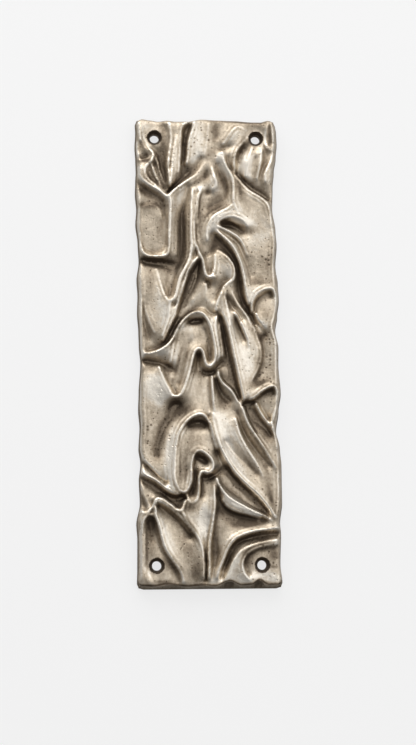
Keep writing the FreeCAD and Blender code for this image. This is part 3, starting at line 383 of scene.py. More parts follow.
    ("loop_right", (4, 5, 4), None, None, [(36.4, 126.2), (37.2, 121), (37.4, 115), (37.4, 110)]),
    ("loop_groove", (0, -2), None, None, [(35.7, 123), (35.6, 118), (35.6, 113.6)]),
    ("rim_right_mid", (5, 6, 5), None, None, [
        (36.2, 66), (37, 60), (36.8, 54), (36.4, 47), (36.2, 40), (36.6, 34)]),
    ("peak_pit_one", (-4,), None, None, [(0.6, 98.6), (0.2, 94.6)]),
    ("peak_pit_two", (-5,), None, None, [(0.4, 86.6), (2.2, 85.8)]),
    ("peak_ridge", (2, 6, 4), None, None, [(3.2, 101), (4.6, 95), (5.8, 90.4), (3.6, 87.6)]),
    ("spine_root", (5, 6, 4), None, None, [(-2.6, 87), (-4.2, 83), (-4.8, 76), (-5.2, 68)]),
    ("sweep", (5, 7, 8, 7, 6), None, (2.2, -7), [
        (3.6, -123.6), (5.2, -119), (7.4, -113.4), (9.4, -108.4), (12, -104.6), (15.6, -101.8), (20, -100.2),
        (26, -98.8), (32, -98.2), (36.4, -97.6)]),
    ("sweep_shadow", (-6, -7, -7), None, None, [
        (6.4, -120), (9.6, -113.4), (12.6, -108), (15.6, -105), (20, -103.4), (26, -101.8), (31, -101),
        (36.6, -100.8)]),
    ("blade_face", (5, 7, 6, 5), None, None, [(7, -82.4), (10, -86.2), (14, -88.4), (20, -90), (27, -92)]),
    ("hem", (4, 6, 5), None, None, [
        (8.4, -125), (10.2, -121), (12, -116.4), (14.6, -112), (18, -108.6), (23, -106.4), (29, -105),
        (36, -104)]),
    ("hole_pocket", (4, 6, 6, 4), (1.8, -2), None, [
        (36, -105.8), (30, -106.6), (25, -108), (20.8, -110.2), (18.2, -113), (17.2, -116.4), (17.8, -120.4),
        (20.4, -124.6)]),
    ("hole_pocket_low", (3, 2), None, None, [(21.4, -125), (22.8, -122), (24.6, -120)]),
]

# Soft swells of the panels between folds: centre x and z, reach along and across, the angle of the
# long way from +X in degrees, and the level at the middle
SWELLS = [
    (-2, 115, 12, 5, 95, 4.5), (-30, 66, 14, 5, 90, 2.5), (-29.5, -22, 12, 5.5, 80, 4.5),
    (22, 72, 7, 5, 20, 4.5), (29, 60, 9, 6, 90, 2), (27, 104, 9, 6, 90, 3), (20, -2, 15, 5, 100, 4),
    (12, -50, 14, 5, 115, 3.5), (-1, -88, 12, 3.5, 90, 4), (-18, -105, 14, 6, 110, 2), (10, 45, 6, 4, 100, 3.5),
    (-10, 7, 5, 4, 30, 3.5), (-6, -52, 8, 4, 90, 2), (-1, -25, 9, 3.5, 90, 3), (31, -31, 5, 4, 90, 2),
    (32, 22, 6, 4, 90, 2), (-24, 20, 10, 3, 100, 2), (-5, 29, 6, 3, 50, 1.5),
]

# Places where the casting is pitted more thickly: centre x and z, reach across and up, and how much more
PITTED = [
    (32, -6, 7, 16, 0.4), (31, 48, 7, 9, 0.3), (-28, -45, 9, 12, 0.3), (-2, 112, 9, 10, 0.3),
    (30, -112, 8, 10, 0.3),
]

# Places where the dark finish was left thicker, or, where less than 0, rubbed away, which also hold painted
# shade, such as shadows under lips, in pits and over glints, and painted highlight: centre x and z, reach along
# and across, the angle of the long way from +X in degrees, and how much
STAINS_AND_PAINTED_LIGHT = [
    (-18.5, 115, 8, 1.5, 92, 0.12), (-4, 116, 10, 3.5, 92, -0.12), (5.5, 119, 9, 2.2, 92, 0.22),
    (16, 119, 8, 2.5, 45, -0.12), (20, 124, 14, 3, 5, 0.15), (30, 125, 8, 2, 0, 0.12),
    (35.5, 118, 6, 1.2, 92, 0.25), (-35.5, 110, 6, 3, 95, -0.1), (-24.5, 108, 10, 2, 95, -0.12),
    (-23.5, 112, 14, 2.2, 92, 0.28), (-17.5, 108, 10, 1.8, 96, -0.1), (-11.5, 113, 12, 1.6, 96, 0.25),
    (2, 108, 4, 2.5, 60, 0.12), (11.5, 112.5, 5, 1.5, 30, 0.15), (11.5, 113, 4, 1.5, 20, -0.2),
    (19, 110, 8, 1.8, 58, 0.3), (25, 107, 6, 4, 70, -0.14), (-34, 103.5, 4, 1.2, 0, 0.25),
    (-33.5, 103.5, 3, 2, 0, 0.15), (-30, 95, 6, 4, 60, 0.12), (-26, 105, 6, 2, 80, 0.15),
    (-23, 96, 10, 2.5, 105, 0.28), (-10, 97, 9, 3, 45, 0.3), (-5.5, 105, 5, 2, 60, -0.25),
    (8.5, 95, 8, 2.2, -65, 0.3), (8.5, 104, 5, 2, -70, -0.3), (9.5, 104, 6, 2.5, -70, -0.3),
    (12.5, 97, 8, 2, -65, -0.12), (20, 101, 7, 2, 65, -0.15), (21.5, 101, 6, 2.5, 60, -0.1),
    (22, 97, 6, 2, -50, -0.25), (27.5, 97, 6, 1.2, 75, 0.15), (-31, 93, 6, 1.5, -40, 0.15),
    (-30, 86, 9, 4, -28, 0.35), (-30, 88, 9, 2.5, -35, -0.3), (-26, 85.5, 8, 2, -35, -0.3),
    (-6, 91, 6, 2, 60, 0.12), (0, 94, 4, 2, 90, 0.2), (1, 86, 2, 2, 0, 0.3), (3, 86, 5, 2.5, 20, -0.2),
    (18.5, 89, 10, 2.5, -70, 0.25), (18.5, 87, 8, 2, -70, 0.2), (22, 93, 10, 2.2, -45, 0.25),
    (29, 91, 5, 2, -40, -0.15), (30, 89, 6, 4, -30, 0.25), (34, 86, 5, 2, -40, -0.2), (-31, 78.5, 6, 3, 0, 0.2),
    (-30, 78.5, 8, 1.5, 0, 0.2), (-14.5, 78, 10, 1.5, 85, -0.2), (-13.5, 83, 8, 2.5, 70, -0.3),
    (-7.5, 80, 6, 1.2, 90, 0.1), (5, 84, 4, 2, 20, 0.15), (6, 80, 7, 4, 30, 0.22), (6, 76, 8, 2, 25, 0.25),
    (18, 78, 10, 4, 80, -0.12), (30, 77, 6, 3, -40, 0.1), (32, 79, 8, 1.2, -60, 0.12), (33, 85, 5, 2, -40, 0.3),
    (-36, 68, 10, 1.5, 90, -0.15), (-23.5, 70, 10, 1.6, 90, 0.22), (-22.5, 66, 8, 1.2, 90, -0.2),
    (-14, 70, 20, 3, 92, 0.28), (-3, 72, 12, 2, 90, 0.15), (0.5, 71.5, 4, 1.5, 80, 0.2),
    (5, 66, 4, 3, 60, -0.2), (8, 73, 8, 2, 30, -0.14), (14, 68.2, 7, 2, -8, 0.6), (18, 70, 6, 2, -5, -0.3),
    (19, 69, 5, 1.5, -8, -0.3), (-20.5, 55, 5, 1.5, 90, 0.2), (9, 55, 10, 3, -60, 0.28),
    (23, 64, 6, 2, 10, 0.15), (25, 64, 6, 2, 10, 0.15), (26, 63, 8, 6, 0, -0.14), (-29, 52.5, 8, 2, 0, 0.15),
    (-28, 47, 10, 2.2, -4, 0.6), (-7.5, 53, 5, 1.2, 80, -0.15), (5, 52, 4, 3, 30, 0.2), (6, 50, 5, 3, 60, -0.1),
    (15.5, 54, 9, 1.5, -65, -0.2), (16, 48, 8, 2.2, -75, 0.25), (23, 50, 12, 2, 100, 0.1),
    (30, 49, 10, 4, 95, 0.08), (35, 54, 6, 2, 90, 0.15), (-30.5, 36, 10, 3, 90, 0.25), (-22, 44, 7, 3, 0, 0.22),
    (-20, 38, 9, 3, 75, 0.22), (-19.5, 38, 6, 1.5, 75, -0.2), (-12, 43, 7, 1.5, 60, -0.12),
    (-4, 38, 5, 3, 70, 0.12), (2, 35, 4, 2.5, 60, 0.15), (2, 36, 3, 2, 60, -0.2), (13, 41, 4, 4, 0, -0.1),
    (18, 38, 8, 1.2, -80, -0.1), (27, 36, 7, 3, 5, 0.25), (32, 35, 5, 2, 10, 0.15), (34, 45, 6, 2, 90, 0.15),
    (-27, 28, 12, 3, -75, -0.1), (-20.5, 27.5, 3, 2, 0, 0.15), (-8.5, 33, 14, 4, 68, 0.3),
    (13, 26, 9, 2.5, -52, 0.3), (18.5, 33, 12, 2, -80, 0.25), (22, 33, 12, 1.2, -80, -0.1),
    (28, 33, 5, 1.2, 20, -0.15), (29, 29.5, 6, 1.5, 30, -0.3), (32, 31, 5, 1.3, 0, 0.3),
    (32, 30.5, 5, 1.2, 10, -0.3), (-22, 18, 7, 3, 75, -0.14), (-12, 17, 14, 1.8, 45, 0.2),
    (-12, 21, 8, 1.5, 40, -0.2), (-7, 17, 6, 1.2, 0, -0.3), (16, 20, 8, 1.5, -55, -0.25),
    (23, 21, 5, 1.5, -60, 0.3), (31.5, 18.5, 4, 4, 90, 0.2), (-32, 8, 5, 5, 90, 0.15),
    (-6, 14.2, 5, 2.2, 0, 0.5), (2, 14, 8, 2, -65, -0.1), (8, 8, 10, 1.6, -78, 0.25),
    (17, 12, 8, 1.2, -65, 0.25), (20, 8, 12, 2.5, -60, -0.1), (22, 13, 8, 1.5, -60, 0.1),
    (28, 11, 3, 2.5, 90, -0.25), (30, 7, 5, 4, 90, 0.25), (30, 11.5, 2.5, 3, 0, -0.3), (-20, 3, 8, 2, 30, 0.25),
    (-4, 3, 6, 3, 90, 0.1), (0, -3, 5, 2, 90, 0.12), (29, -4, 8, 1.5, 85, 0.2), (-31, -8, 8, 1.8, -8, 0.25),
    (-31, -12.5, 5, 2, 0, 0.15), (-31, -11, 5, 2, 0, 0.12), (-27, -8, 5, 1.5, -10, -0.12),
    (-20, -11, 4, 2, -30, 0.3), (-8, -10, 8, 2, 75, 0.2), (0, -14, 5, 1.6, 0, 0.25),
    (14, -14, 14, 1.5, -72, 0.22), (21, -8, 12, 4, -80, -0.15), (27, -11, 6, 2, 80, 0.15),
    (-30, -20, 10, 4, 90, -0.15), (-26, -25, 8, 4, -70, -0.3), (-20, -17, 8, 4, -65, 0.12),
    (-4, -17, 6, 2, 85, 0.12), (-1, -22, 9, 3, 90, -0.06), (5, -22, 10, 2.5, -65, 0.28),
    (9, -16, 6, 1.5, -55, -0.15), (10, -17, 9, 2, -55, 0.25), (26, -17, 4, 2, 45, 0.12),
    (28, -20.5, 6, 2, 20, 0.25), (29, -19.5, 6, 2.5, 15, 0.3), (31, -20, 6, 1.5, 25, -0.12),
    (31, -24, 7, 1.5, 25, 0.25), (-26, -26, 6, 3, -70, -0.25), (-18, -31, 6, 3.5, 10, 0.45),
    (6, -31, 3, 4, 90, 0.15), (12, -31, 8, 2, -40, 0.15), (22, -30, 3, 1.5, 10, 0.35),
    (31, -31, 5, 4, -60, 0.1), (31, -33, 4, 3, -60, -0.2), (-31, -35, 6, 4, 90, 0.1),
    (-24, -45, 12, 3.4, 68, 0.32), (-11.5, -35, 7, 3, 25, 0.3), (-6, -41.4, 7, 2.6, 0, 0.5),
    (6, -38, 6, 4, -70, -0.12), (24, -37, 8, 1.6, -65, 0.25), (30, -40, 6, 1.5, -55, -0.15),
    (31, -44, 8, 2, -55, 0.22), (-34, -48, 8, 3, 90, 0.1), (-19, -52, 10, 1.2, 88, -0.12),
    (-7, -50.5, 5, 5, 60, 0.22), (9, -50, 10, 4, -65, -0.12), (13, -46, 8, 1.5, -60, -0.1),
    (28, -52, 14, 2, -55, 0.22), (32.5, -51, 4, 2.5, -50, 0.2), (-27, -60, 6, 2.5, 80, 0.2),
    (-21.5, -60, 14, 2.5, 88, -0.12), (-4, -60.4, 5, 1.8, -35, 0.5), (5, -58, 5, 2, -60, 0.2),
    (6, -62, 4, 3, 60, -0.35), (18, -58, 12, 1.2, -55, 0.14), (-32, -73, 7, 2.5, -35, 0.28),
    (-31, -67, 8, 1.5, -40, 0.2), (-28, -71.5, 6, 1.5, -35, -0.2), (-28, -71, 7, 1.5, -35, -0.2),
    (-15, -68, 8, 2, 85, 0.2), (-13, -72, 5, 1.5, 90, 0.12), (-8, -72, 9, 2, 88, 0.22),
    (-8, -71, 5, 1.5, 88, -0.15), (0, -70, 4, 1.3, 0, 0.35), (1, -74.5, 4, 2, 90, 0.15),
    (9, -66, 3, 2, 0, 0.35), (16, -73, 14, 2, -48, 0.22), (24, -66, 8, 1.5, -55, 0.1),
    (-34, -80, 4, 3, 90, 0.15), (-18, -80, 8, 1.8, 0, 0.35), (-3.5, -76, 6, 1, 88, 0.25),
    (5, -78, 6, 2, -70, 0.25), (12, -78, 8, 2, -45, 0.15), (17, -85, 9, 2, -30, -0.3),
    (32, -75, 10, 2.5, -78, 0.2), (33, -83, 6, 2, -70, 0.3), (-31, -94, 4, 3, 90, 0.35),
    (-18, -89, 10, 1.6, -45, 0.25), (-11.5, -86, 4, 3, 0, 0.2), (-10, -87, 4, 2, 0, 0.2),
    (-4, -92, 10, 3, 90, -0.1), (7, -90, 8, 2, -45, 0.25), (11, -88.5, 5, 2, -40, 0.2),
    (18, -90, 12, 1.8, -12, 0.25), (20, -94.5, 9, 2, -8, 0.35), (20, -87, 10, 1.8, -30, -0.4),
    (-31, -105, 10, 3, 90, 0.2), (-22, -102, 12, 3, -70, -0.12), (-21.5, -97, 6, 2, -65, 0.08),
    (-9, -100, 7, 1.8, -60, 0.2), (-3, -98, 10, 2, 88, -0.3), (-3, -97, 9, 1.8, 88, -0.25),
    (3, -105, 14, 2, 88, 0.22), (12, -98, 8, 3, 20, 0.1), (20, -103, 14, 1.8, 25, 0.22),
    (20, -96, 9, 2, 0, 0.3), (25, -97, 10, 2, 5, -0.12), (25, -104.5, 8, 1.5, 12, 0.15),
    (28, -104, 6, 1.5, 10, 0.2), (-12.5, -106, 8, 4, -60, 0.15), (-12, -112, 9, 5, -70, 0.12),
    (10, -114, 12, 1.8, 62, 0.25), (12.5, -109, 7, 1.2, 50, -0.12), (20.5, -112, 5, 4, 80, 0.25),
    (26, -107, 6, 1.5, 10, 0.2), (32, -112, 4, 4, 90, 0.15), (-31, -123, 5, 2, 0, 0.12),
    (-20, -117, 7, 3, -50, 0.25), (-9, -121, 5, 3, 90, 0.15), (-6, -120, 6, 3, 90, 0.25),
    (4, -121, 5, 2, 60, -0.2), (5, -121, 6, 2, 55, -0.2), (8, -123, 5, 2, 50, -0.1),
    (17, -121, 5, 3, 60, -0.12), (29, -124, 6, 2, 0, -0.08), (33.5, -118, 3, 1, 0, 0.25),
    (-25, -125.5, 6, 1, 0, 0.3), (27, -126, 4, 1, 0, 0.3), (7, 109, 3, 2.5, 0, 0.25),
    (26, 111, 4.5, 3, 80, 0.28), (-4, 88.5, 5, 1.5, 10, -0.2), (6, 92, 4, 1.5, -60, -0.15),
    (-26, 91, 6, 2, -35, 0.15), (-3, 93, 7, 2, 42, 0.18), (-34, 113, 4, 2, 60, 0.15),
    (-36, 99, 6, 1.5, 80, -0.1), (12.5, 68.6, 4.5, 1.8, -8, 0.35), (19, 80, 5, 2, -72, 0.12),
    (-28, 46.8, 8.5, 1.6, -5, 0.4), (-29, 62, 10, 3, 90, 0.06), (-12.5, 62, 17, 2.2, 92, 0.2),
    (-12, 49, 7, 2.5, 75, 0.15), (2.5, 63.5, 6, 1.6, 75, -0.2), (6, 72, 5, 1.8, 42, -0.2),
    (4, 57, 4, 3, 60, 0.25), (25, 61, 4, 2, -40, 0.08), (30, 43, 5, 4, 60, 0.1), (-8, 27, 5, 2.5, 60, -0.12),
    (-29, -3.8, 7, 1.6, 8, -0.3), (-15.4, -6, 9, 0.9, 74, 0.2), (-17.8, -9, 9, 1, 76, -0.2),
    (-11.3, -4, 6, 0.8, 72, 0.2), (20, 3.5, 3, 2, -60, 0.15), (-33.4, -108, 14, 0.9, 90, 0.25),
    (-36, -108, 14, 0.9, 90, -0.15), (-32.4, -121.5, 4, 0.9, -62, -0.25), (27, -108.5, 8, 1.8, 8, 0.15),
    (34.5, -112, 3, 2, 90, 0.2), (19.6, -116, 4, 1.6, 95, 0.2), (25, -122.8, 6, 1, 12, -0.2),
    (34, -122.8, 3.5, 1.2, -15, -0.15), (13.4, -116, 6, 1.4, 64, -0.2), (33, -12, 5, 4, 90, 0.1),
    (-30, -15, 6, 5, 0, 0.08), (-18, -38, 7, 2, 35, 0.12), (-12, -57, 6, 2.5, 85, 0.14),
    (35, -30, 4, 2, 90, 0.1), (-14, -85, 5, 2, 20, 0.14), (-5, -85, 4, 2, 60, 0.12), (-36, -85, 4, 2, 90, 0.1),
    (-22, -22, 5, 2.5, -60, -0.12), (-12, -72, 4, 2, 60, -0.14), (0, -30, 8, 1.5, 90, -0.1),
    (-33, -70, 5, 2, -40, -0.14), (6, -122, 4, 2, 60, -0.1), (20, -88.5, 9, 1.6, -25, -0.15),
    (28, 70, 4, 3, 0, 0.08), (-33, 103, 3, 2, 0, 0.12), (18, 126.3, 20, 1, -1, 0.25),
    (-25, 126.5, 14, 0.8, 0, 0.12), (-33.5, 110, 5, 2.5, -60, 0.2), (-34.5, 104.5, 3, 1.5, 0, 0.15),
    (20, 114.5, 3, 1.5, 50, 0.12), (8, -124.4, 5, 0.8, 8, -0.2), (20, -125.4, 4, 0.8, 0, -0.2),
    (33, -125, 4, 0.8, 0, -0.2), (-21.2, -58, 13, 1.4, 88, -0.2), (-19.8, -70, 7, 1.4, 80, -0.2),
    (-18.5, -44, 6, 1.6, 62, -0.06), (-15.6, -58, 13, 0.7, 90, 0.2), (-12.4, -66, 8, 1.2, 88, 0.18),
    (9, -48, 11, 1.8, -66, -0.12), (14, -62, 11, 1.8, -56, -0.12), (25, -74, 7, 1.8, -52, 0.1),
    (26, -40, 10, 1.6, -58, 0.22), (-16, -33, 4, 2, -30, 0.22), (-30, -66, 8, 1.1, -40, -0.12),
    (-25, -73.4, 6, 1.1, -42, -0.15), (-7, 96, 8, 1.2, 45, 0.12), (12, 117, 7, 2.2, 50, 0.15),
    (-17, 123, 4, 2.5, 90, 0.1), (35, 112, 4, 1.5, 70, 0.1), (7, 49, 3, 3, 0, 0.1), (10, 76, 4, 2, 30, 0.08),
    (-26, 66, 9, 1.5, 92, 0.1), (25, 9, 4, 2, -60, 0.12), (-8, 11, 5, 2, 20, -0.1),
    (13, 14, 6, 1.6, -70, -0.12), (18, 70, 4, 1.2, -15, -0.12), (18, 46, 8, 1.4, -72, -0.12),
    (10, 98, 5, 1.8, -70, -0.14), (-30, 97, 4, 1.8, -50, -0.12), (-23, -21, 5, 2.2, -65, -0.14),
    (-9, -73, 4, 1.4, 72, -0.16), (-32, -72, 5, 1.4, -35, -0.12), (18, -106, 9, 1.4, 24, -0.12),
    (5, -120, 5, 1.4, 60, -0.12), (0.5, -95, 8, 1.2, 88, -0.1), (30, -65, 4, 2, -60, 0.12),
    (25, -54, 6, 1.4, -60, 0.1), (7, -33, 5, 2.5, 0, 0.1), (-4, -66, 2.5, 1.5, 0, 0.14),
    (22, -97.5, 6, 1.2, 5, 0.1), (31, -103.5, 5, 1.2, 8, 0.12),
]

# How far each wavy side lies outside the mean line, in grid millimetres, at places along it. The lower
# end spreads to a nearly straight line at the back.
LEFT_WAVE = [
    (-127.5, -0.7), (-125, 0.1), (-118, -0.1), (-102, -0.2), (-94, 0.3), (-83, -1.6), (-71, -1.1), (-62, -2),
    (-54, -1), (-43, -1.6), (-33, -0.9), (-24, -1.2), (-8, -2.2), (2, -1.4), (9, -1.2), (20, -0.5), (29, -0.8),
    (38, -0.3), (48, -1.5), (58, -1), (69, 0.2), (77, -0.3), (86, 0.4), (93, 0.2), (98, -0.1), (105, 0.1),
    (112, 0.5), (121, 0.1), (125, 0.3), (127.5, -0.5)]
RIGHT_WAVE = [
    (-127.5, 0), (-125, 0.8), (-116, -0.1), (-99, 0.5), (-94, 0.1), (-83, 1.4), (-63, 1.4), (-54, 0.7),
    (-45, -1.2), (-34, 0.3), (-24, 1.7), (-9, 0.7), (1, 0.9), (10, -0.7), (18, 0.5), (27, 1.6), (36, 1.2),
    (46, 0), (58, 0.9), (66, 0.4), (78, -1.2), (90, -0.8), (99, 0), (107, 1.2), (115, 1.9), (122, 1.7),
    (125, 1.2), (127.5, 0.3)]
BOTTOM_WAVE = [
    (-38.5, 0.5), (-36, 1.2), (-30, 1.5), (-22, 0.6), (-12, 1.7), (-3, 1.2), (3, 1.6), (10.5, -1), (17, 1.4),
    (22, 1.1), (26.5, -1.3), (31, 1.3), (36, 1.2), (38.5, 0.5)]
TOP_WAVE = [
    (-38.5, 0.3), (-36, 1.2), (-32, 0.6), (-27, -0.1), (-22, 0.5), (-17, 0), (-10, 0.1), (-2, 1.4), (6, 1),
    (16, 0.7), (26, 0.1), (31, 0.1), (35.6, 1.2), (38.5, 0.3)]
BACK_BOTTOM_WAVE = [(-38.5, 1.3), (-35.5, 2), (35.5, 2), (38.5, 1.3)]


def linear(hex_colour):
    """Linear colour of an sRGB hex value."""
    shares = [int(hex_colour[i:i + 2], 16) / 255 for i in (1, 3, 5)]
    return tuple(s / 12.92 if s <= 0.04045 else ((s + 0.055) / 1.055) ** 2.4 for s in shares)


def length_property(name, millimetres, description):
    """A size in metres, given in millimetres."""
    return FloatProperty(name=name, description=description, default=millimetres * MM, min=0.0, precision=5,
                         subtype="DISTANCE", unit="LENGTH")


def colour_property(name, hex_colour, description):
    """A colour, given as an sRGB hex value."""
    return FloatVectorProperty(name=name, description=description, default=linear(hex_colour), min=0.0, max=1.0,
                               size=3, subtype="COLOR")


class PlateSettings(bpy.types.PropertyGroup):
    """Sizes of the plate, which are the solid's apart from smaller pads, and how finely the folds are made."""

    plate_width: length_property("Width", 77.0, "Width between the mean lines of the wavy sides")
    plate_height: length_property("Height", 255.0, "Height between the mean lines of the wavy ends")
    field_height: length_property("Ground", 5.4, "Height of the ground between the folds above the back")
    crest_height: length_property("Crest", 9.0, "Height of the highest crests above the back")
    edge_height: length_property("Edge", 3.4, "Height of the side wall at the rolled edge")
    edge_roll: length_property("Edge roll", 2.4, "Width of the rounded band inside the edge")
    edge_draft: length_property("Edge draft", 0.7, "Spread of the side wall towards the back")
    hole_inset: length_property("Hole inset", 10.5, "From the mean edges to the screw holes' centres")
    hole_diameter: length_property("Hole", 5.0, "Through hole for the screw shank")
    sink_diameter: length_property("Countersink", 8.0, "Mouth of the countersink at the pad")
    sink_depth: length_property("Countersink depth", 2.2, "Depth of the countersink below the pad")
    pad_diameter: length_property("Pad", 8.6, "Flat pad round each screw hole")
    skin: length_property("Skin", 0.15, "How far the outline stays inside the solid's")
    cell: length_property("Cell", 0.47, "Spacing of the points of the front")
    reach: length_property("Reach", 10.0, "How far a fold draws up the ground beside it")
    crest_rounding: length_property("Crest rounding", 0.25, "Rounding of the crests")
    hollow_rounding: length_property("Hollow rounding", 0.45, "Rounding of the hollows")
    unevenness: length_property("Unevenness", 0.07, "Waviness that the hand-worked pattern left in the panels")
    hole_sides: IntProperty(name="Hole sides", description="Sides of the round holes", default=72, min=12)


class FinishSettings(bpy.types.PropertyGroup):
    """Colours of the antiqued casting."""

    # The crest colour also shows painted highlight, and the hollow colour painted shade in hollows,
    # countersinks and under lips
    crest: colour_property("Crest", "#F3EBDE", "Metal rubbed bright on the crests")
    field: colour_property("Field", "#D0C2AE", "Metal of the panels")
    shade: colour_property("Shade", "#978977", "Thin dark finish on the flanks")
    hollow: colour_property("Hollow", "#63574A", "Dark finish left in the hollows")


class StageSettings(bpy.types.PropertyGroup):
    """Place of the camera and colour of the backdrop."""

    elevation: FloatProperty(name="Elevation", description="Angle of the camera above the plate's middle",
                             default=math.radians(-8.8), subtype="ANGLE", unit="ROTATION")
    azimuth: FloatProperty(name="Azimuth", description="Angle of the camera round the plate",
                           default=math.radians(-4.4), subtype="ANGLE", unit="ROTATION")
    distance: length_property("Distance", 864.0, "From the camera to the point that it looks at")
    backdrop: colour_property("Backdrop", "#F3F3F3", "Pale backdrop behind the plate")


class Relief:
    """Levels of the folded front on a square grid in grid millimetres, with the ground at level 0."""

    def __init__(self, cell, reach, crest_rounding, hollow_rounding, unevenness):
        self.cell = cell
        self.x_low = -GRID_WIDTH / 2 - MARGIN
        self.z_low = -GRID_HEIGHT / 2 - MARGIN
        columns = int(-2 * self.x_low / cell) + 2
        rows = int(-2 * self.z_low / cell) + 2
        self.x, self.z = np.meshgrid(self.x_low + cell * np.arange(columns),
                                     self.z_low + cell * np.arange(rows))
        self.total = np.zeros_like(self.x)
        self.weights = np.zeros_like(self.x)
        self.strength = np.zeros_like(self.x)
        self.crests = np.zeros_like(self.x)
        self.strands = np.zeros_like(self.x)
        for _, levels, left, right, points in FOLDS:
            self.add_fold(levels, left, right, points)
        self.relax(reach)
        low, high = STRAND_FADE
        self.strands *= np.clip((self.level - low) / (high - low), 0, 1)
        crisp = blur(self.level, crest_rounding / cell)
        soft = blur(self.level, hollow_rounding / cell)
        uneven = unevenness * self.waviness() + STRAND_RISE * self.lines(self.strands, STRAND_WIDTH)
        self.level = np.minimum(np.maximum(crisp, soft) + uneven, HIGHEST)

    def ovals(self, places):
        """Sum of soft ovals, each with a centre, reaches along and across, an angle and a value."""
        total = np.zeros_like(self.x)
        for x, z, along, across, angle, value in places:
            turn = math.radians(angle)
            u = ((self.x - x) * math.cos(turn) + (self.z - z) * math.sin(turn)) / along
            v = ((self.z - z) * math.cos(turn) - (self.x - x) * math.sin(turn)) / across
            total += value * np.exp(-u * u - v * v)
        return total

    def lines(self, marks, width):
        """Marked lines, at full strength in their middle and fading over a width."""
        cells = width / self.cell
        return math.sqrt(math.tau) * cells * blur(marks, cells)

    def cells(self, run):
        """Cells along a run of points, and which of its points lie on the grid."""
        i = np.round((run[:, 0] - self.x_low) / self.cell).astype(int)
        j = np.round((run[:, 1] - self.z_low) / self.cell).astype(int)
        inside = (i > 0) & (i < self.x.shape[1] - 1) & (j > 0) & (j < self.x.shape[0] - 1)
        return (j[inside], i[inside]), inside

    def stamp(self, run, levels, weight):
        """Pull the cells along a run of points towards levels."""
        cells, inside = self.cells(run)
        np.add.at(self.total, cells, weight * levels[inside])
        np.add.at(self.weights, cells, weight)
        np.maximum.at(self.strength, cells, weight)

    def add_fold(self, levels, left, right, points):
        """Stamp a fold's crest, or hollow, and the feet beside it."""
        run = smooth_run(points, STEP)
        level = np.interp(np.linspace(0, 1, len(run)), np.linspace(0, 1, len(levels)), levels)
        ahead = np.gradient(run, axis=0)
        ahead /= np.linalg.norm(ahead, axis=1, keepdims=True)
        across = np.stack([-ahead[:, 1], ahead[:, 0]], axis=1)
        self.stamp(run, level, PULL)
        if max(levels) > 0:
            mark = np.clip(level / FULL_LEVEL, 0, 1)
            cells, inside = self.cells(run)
            np.maximum.at(self.crests, cells, mark[inside])
            taper = np.sin(np.linspace(0, math.pi, len(run)))
            for away, share in STRANDS:
                cells, inside = self.cells(run + away * across)
                self.strands[cells] = (share * taper * mark)[inside]
            self.stamp(run + CREST_HALF * across, level, PULL)
            self.stamp(run - CREST_HALF * across, level, PULL)
        for foot, side in ((left, 1), (right, -1)):
            if foot:
                away = side * (foot[0] + CREST_HALF)
                self.stamp(run + away * across, np.full(len(run), float(foot[1])), FOOT_PULL)

    def relax(self, reach):
        """Stretch the front between the folds, as a skin that the ground holds back."""
        ground = self.ovals(SWELLS)
        hold = (self.cell / reach) ** 2
        aim = (self.strength * self.total / np.maximum(self.weights, 1e-9) + hold * ground)[1:-1, 1:-1]
        bulk = (4 + hold + self.strength)[1:-1, 1:-1]
        rows, columns = np.indices(ground.shape)
        colours = [((rows + columns) % 2 == c)[1:-1, 1:-1] for c in (0, 1)]
        self.level = ground.copy()
        inner = self.level[1:-1, 1:-1]
        for _ in range(SWEEPS):
            for colour in colours:
                beside = (self.level[1:-1, :-2] + self.level[1:-1, 2:]
                          + self.level[:-2, 1:-1] + self.level[2:, 1:-1])
                inner += OVER_RELAX * colour * ((beside + aim) / bulk - inner)

    def waviness(self):
        """Random waves of two lengths, about 1 high in all."""
        rng = np.random.default_rng(SEED)
        waves = np.zeros_like(self.x)
        for length, share in WAVINESS:
            rough = blur(rng.standard_normal(self.x.shape), length / self.cell)
            waves += share * rough / rough.std()
        return waves

    def sample(self, values, x, z):
        """Values of a grid at places, between the four cells round each."""
        u = np.clip((x - self.x_low) / self.cell, 0, self.x.shape[1] - 1.001)
        v = np.clip((z - self.z_low) / self.cell, 0, self.x.shape[0] - 1.001)
        i, j = u.astype(int), v.astype(int)
        u, v = u - i, v - j
        low = values[j, i] * (1 - u) + values[j, i + 1] * u
        high = values[j + 1, i] * (1 - u) + values[j + 1, i + 1] * u
        return low * (1 - v) + high * v


def smooth_run(points, spacing):
    """Points about one spacing apart on a smooth curve through the given points."""
    path = np.array(points, float)
    path = np.vstack([2 * path[0] - path[1], path, 2 * path[-1] - path[-2]])
    run = []
    for before, start, end, after in zip(path, path[1:], path[2:], path[3:]):
        count = max(2, int(np.linalg.norm(end - start) / spacing) + 1)
        t = np.arange(count)[:, None] / count
        run.append((before * (-t + 2 * t**2 - t**3) + start * (2 - 5 * t**2 + 3 * t**3)
                    + end * (t + 4 * t**2 - 3 * t**3) + after * (t**3 - t**2)) / 2)
    run.append(path[-2:-1])
    return np.vstack(run)


def blur(values, cells):
    """Gaussian blur of a grid by a number of cells."""
    span = max(1, int(3 * cells))
    taps = np.exp(-0.5 * (np.arange(-span, span + 1) / cells) ** 2)
    taps /= taps.sum()
    for axis in (0, 1):
        pad = [(span, span) if a == axis else (0, 0) for a in (0, 1)]
        padded = np.pad(values, pad, mode="edge")
        size = values.shape[axis]
        values = sum(w * np.take(padded, range(k, k + size), axis=axis) for k, w in enumerate(taps))
    return values


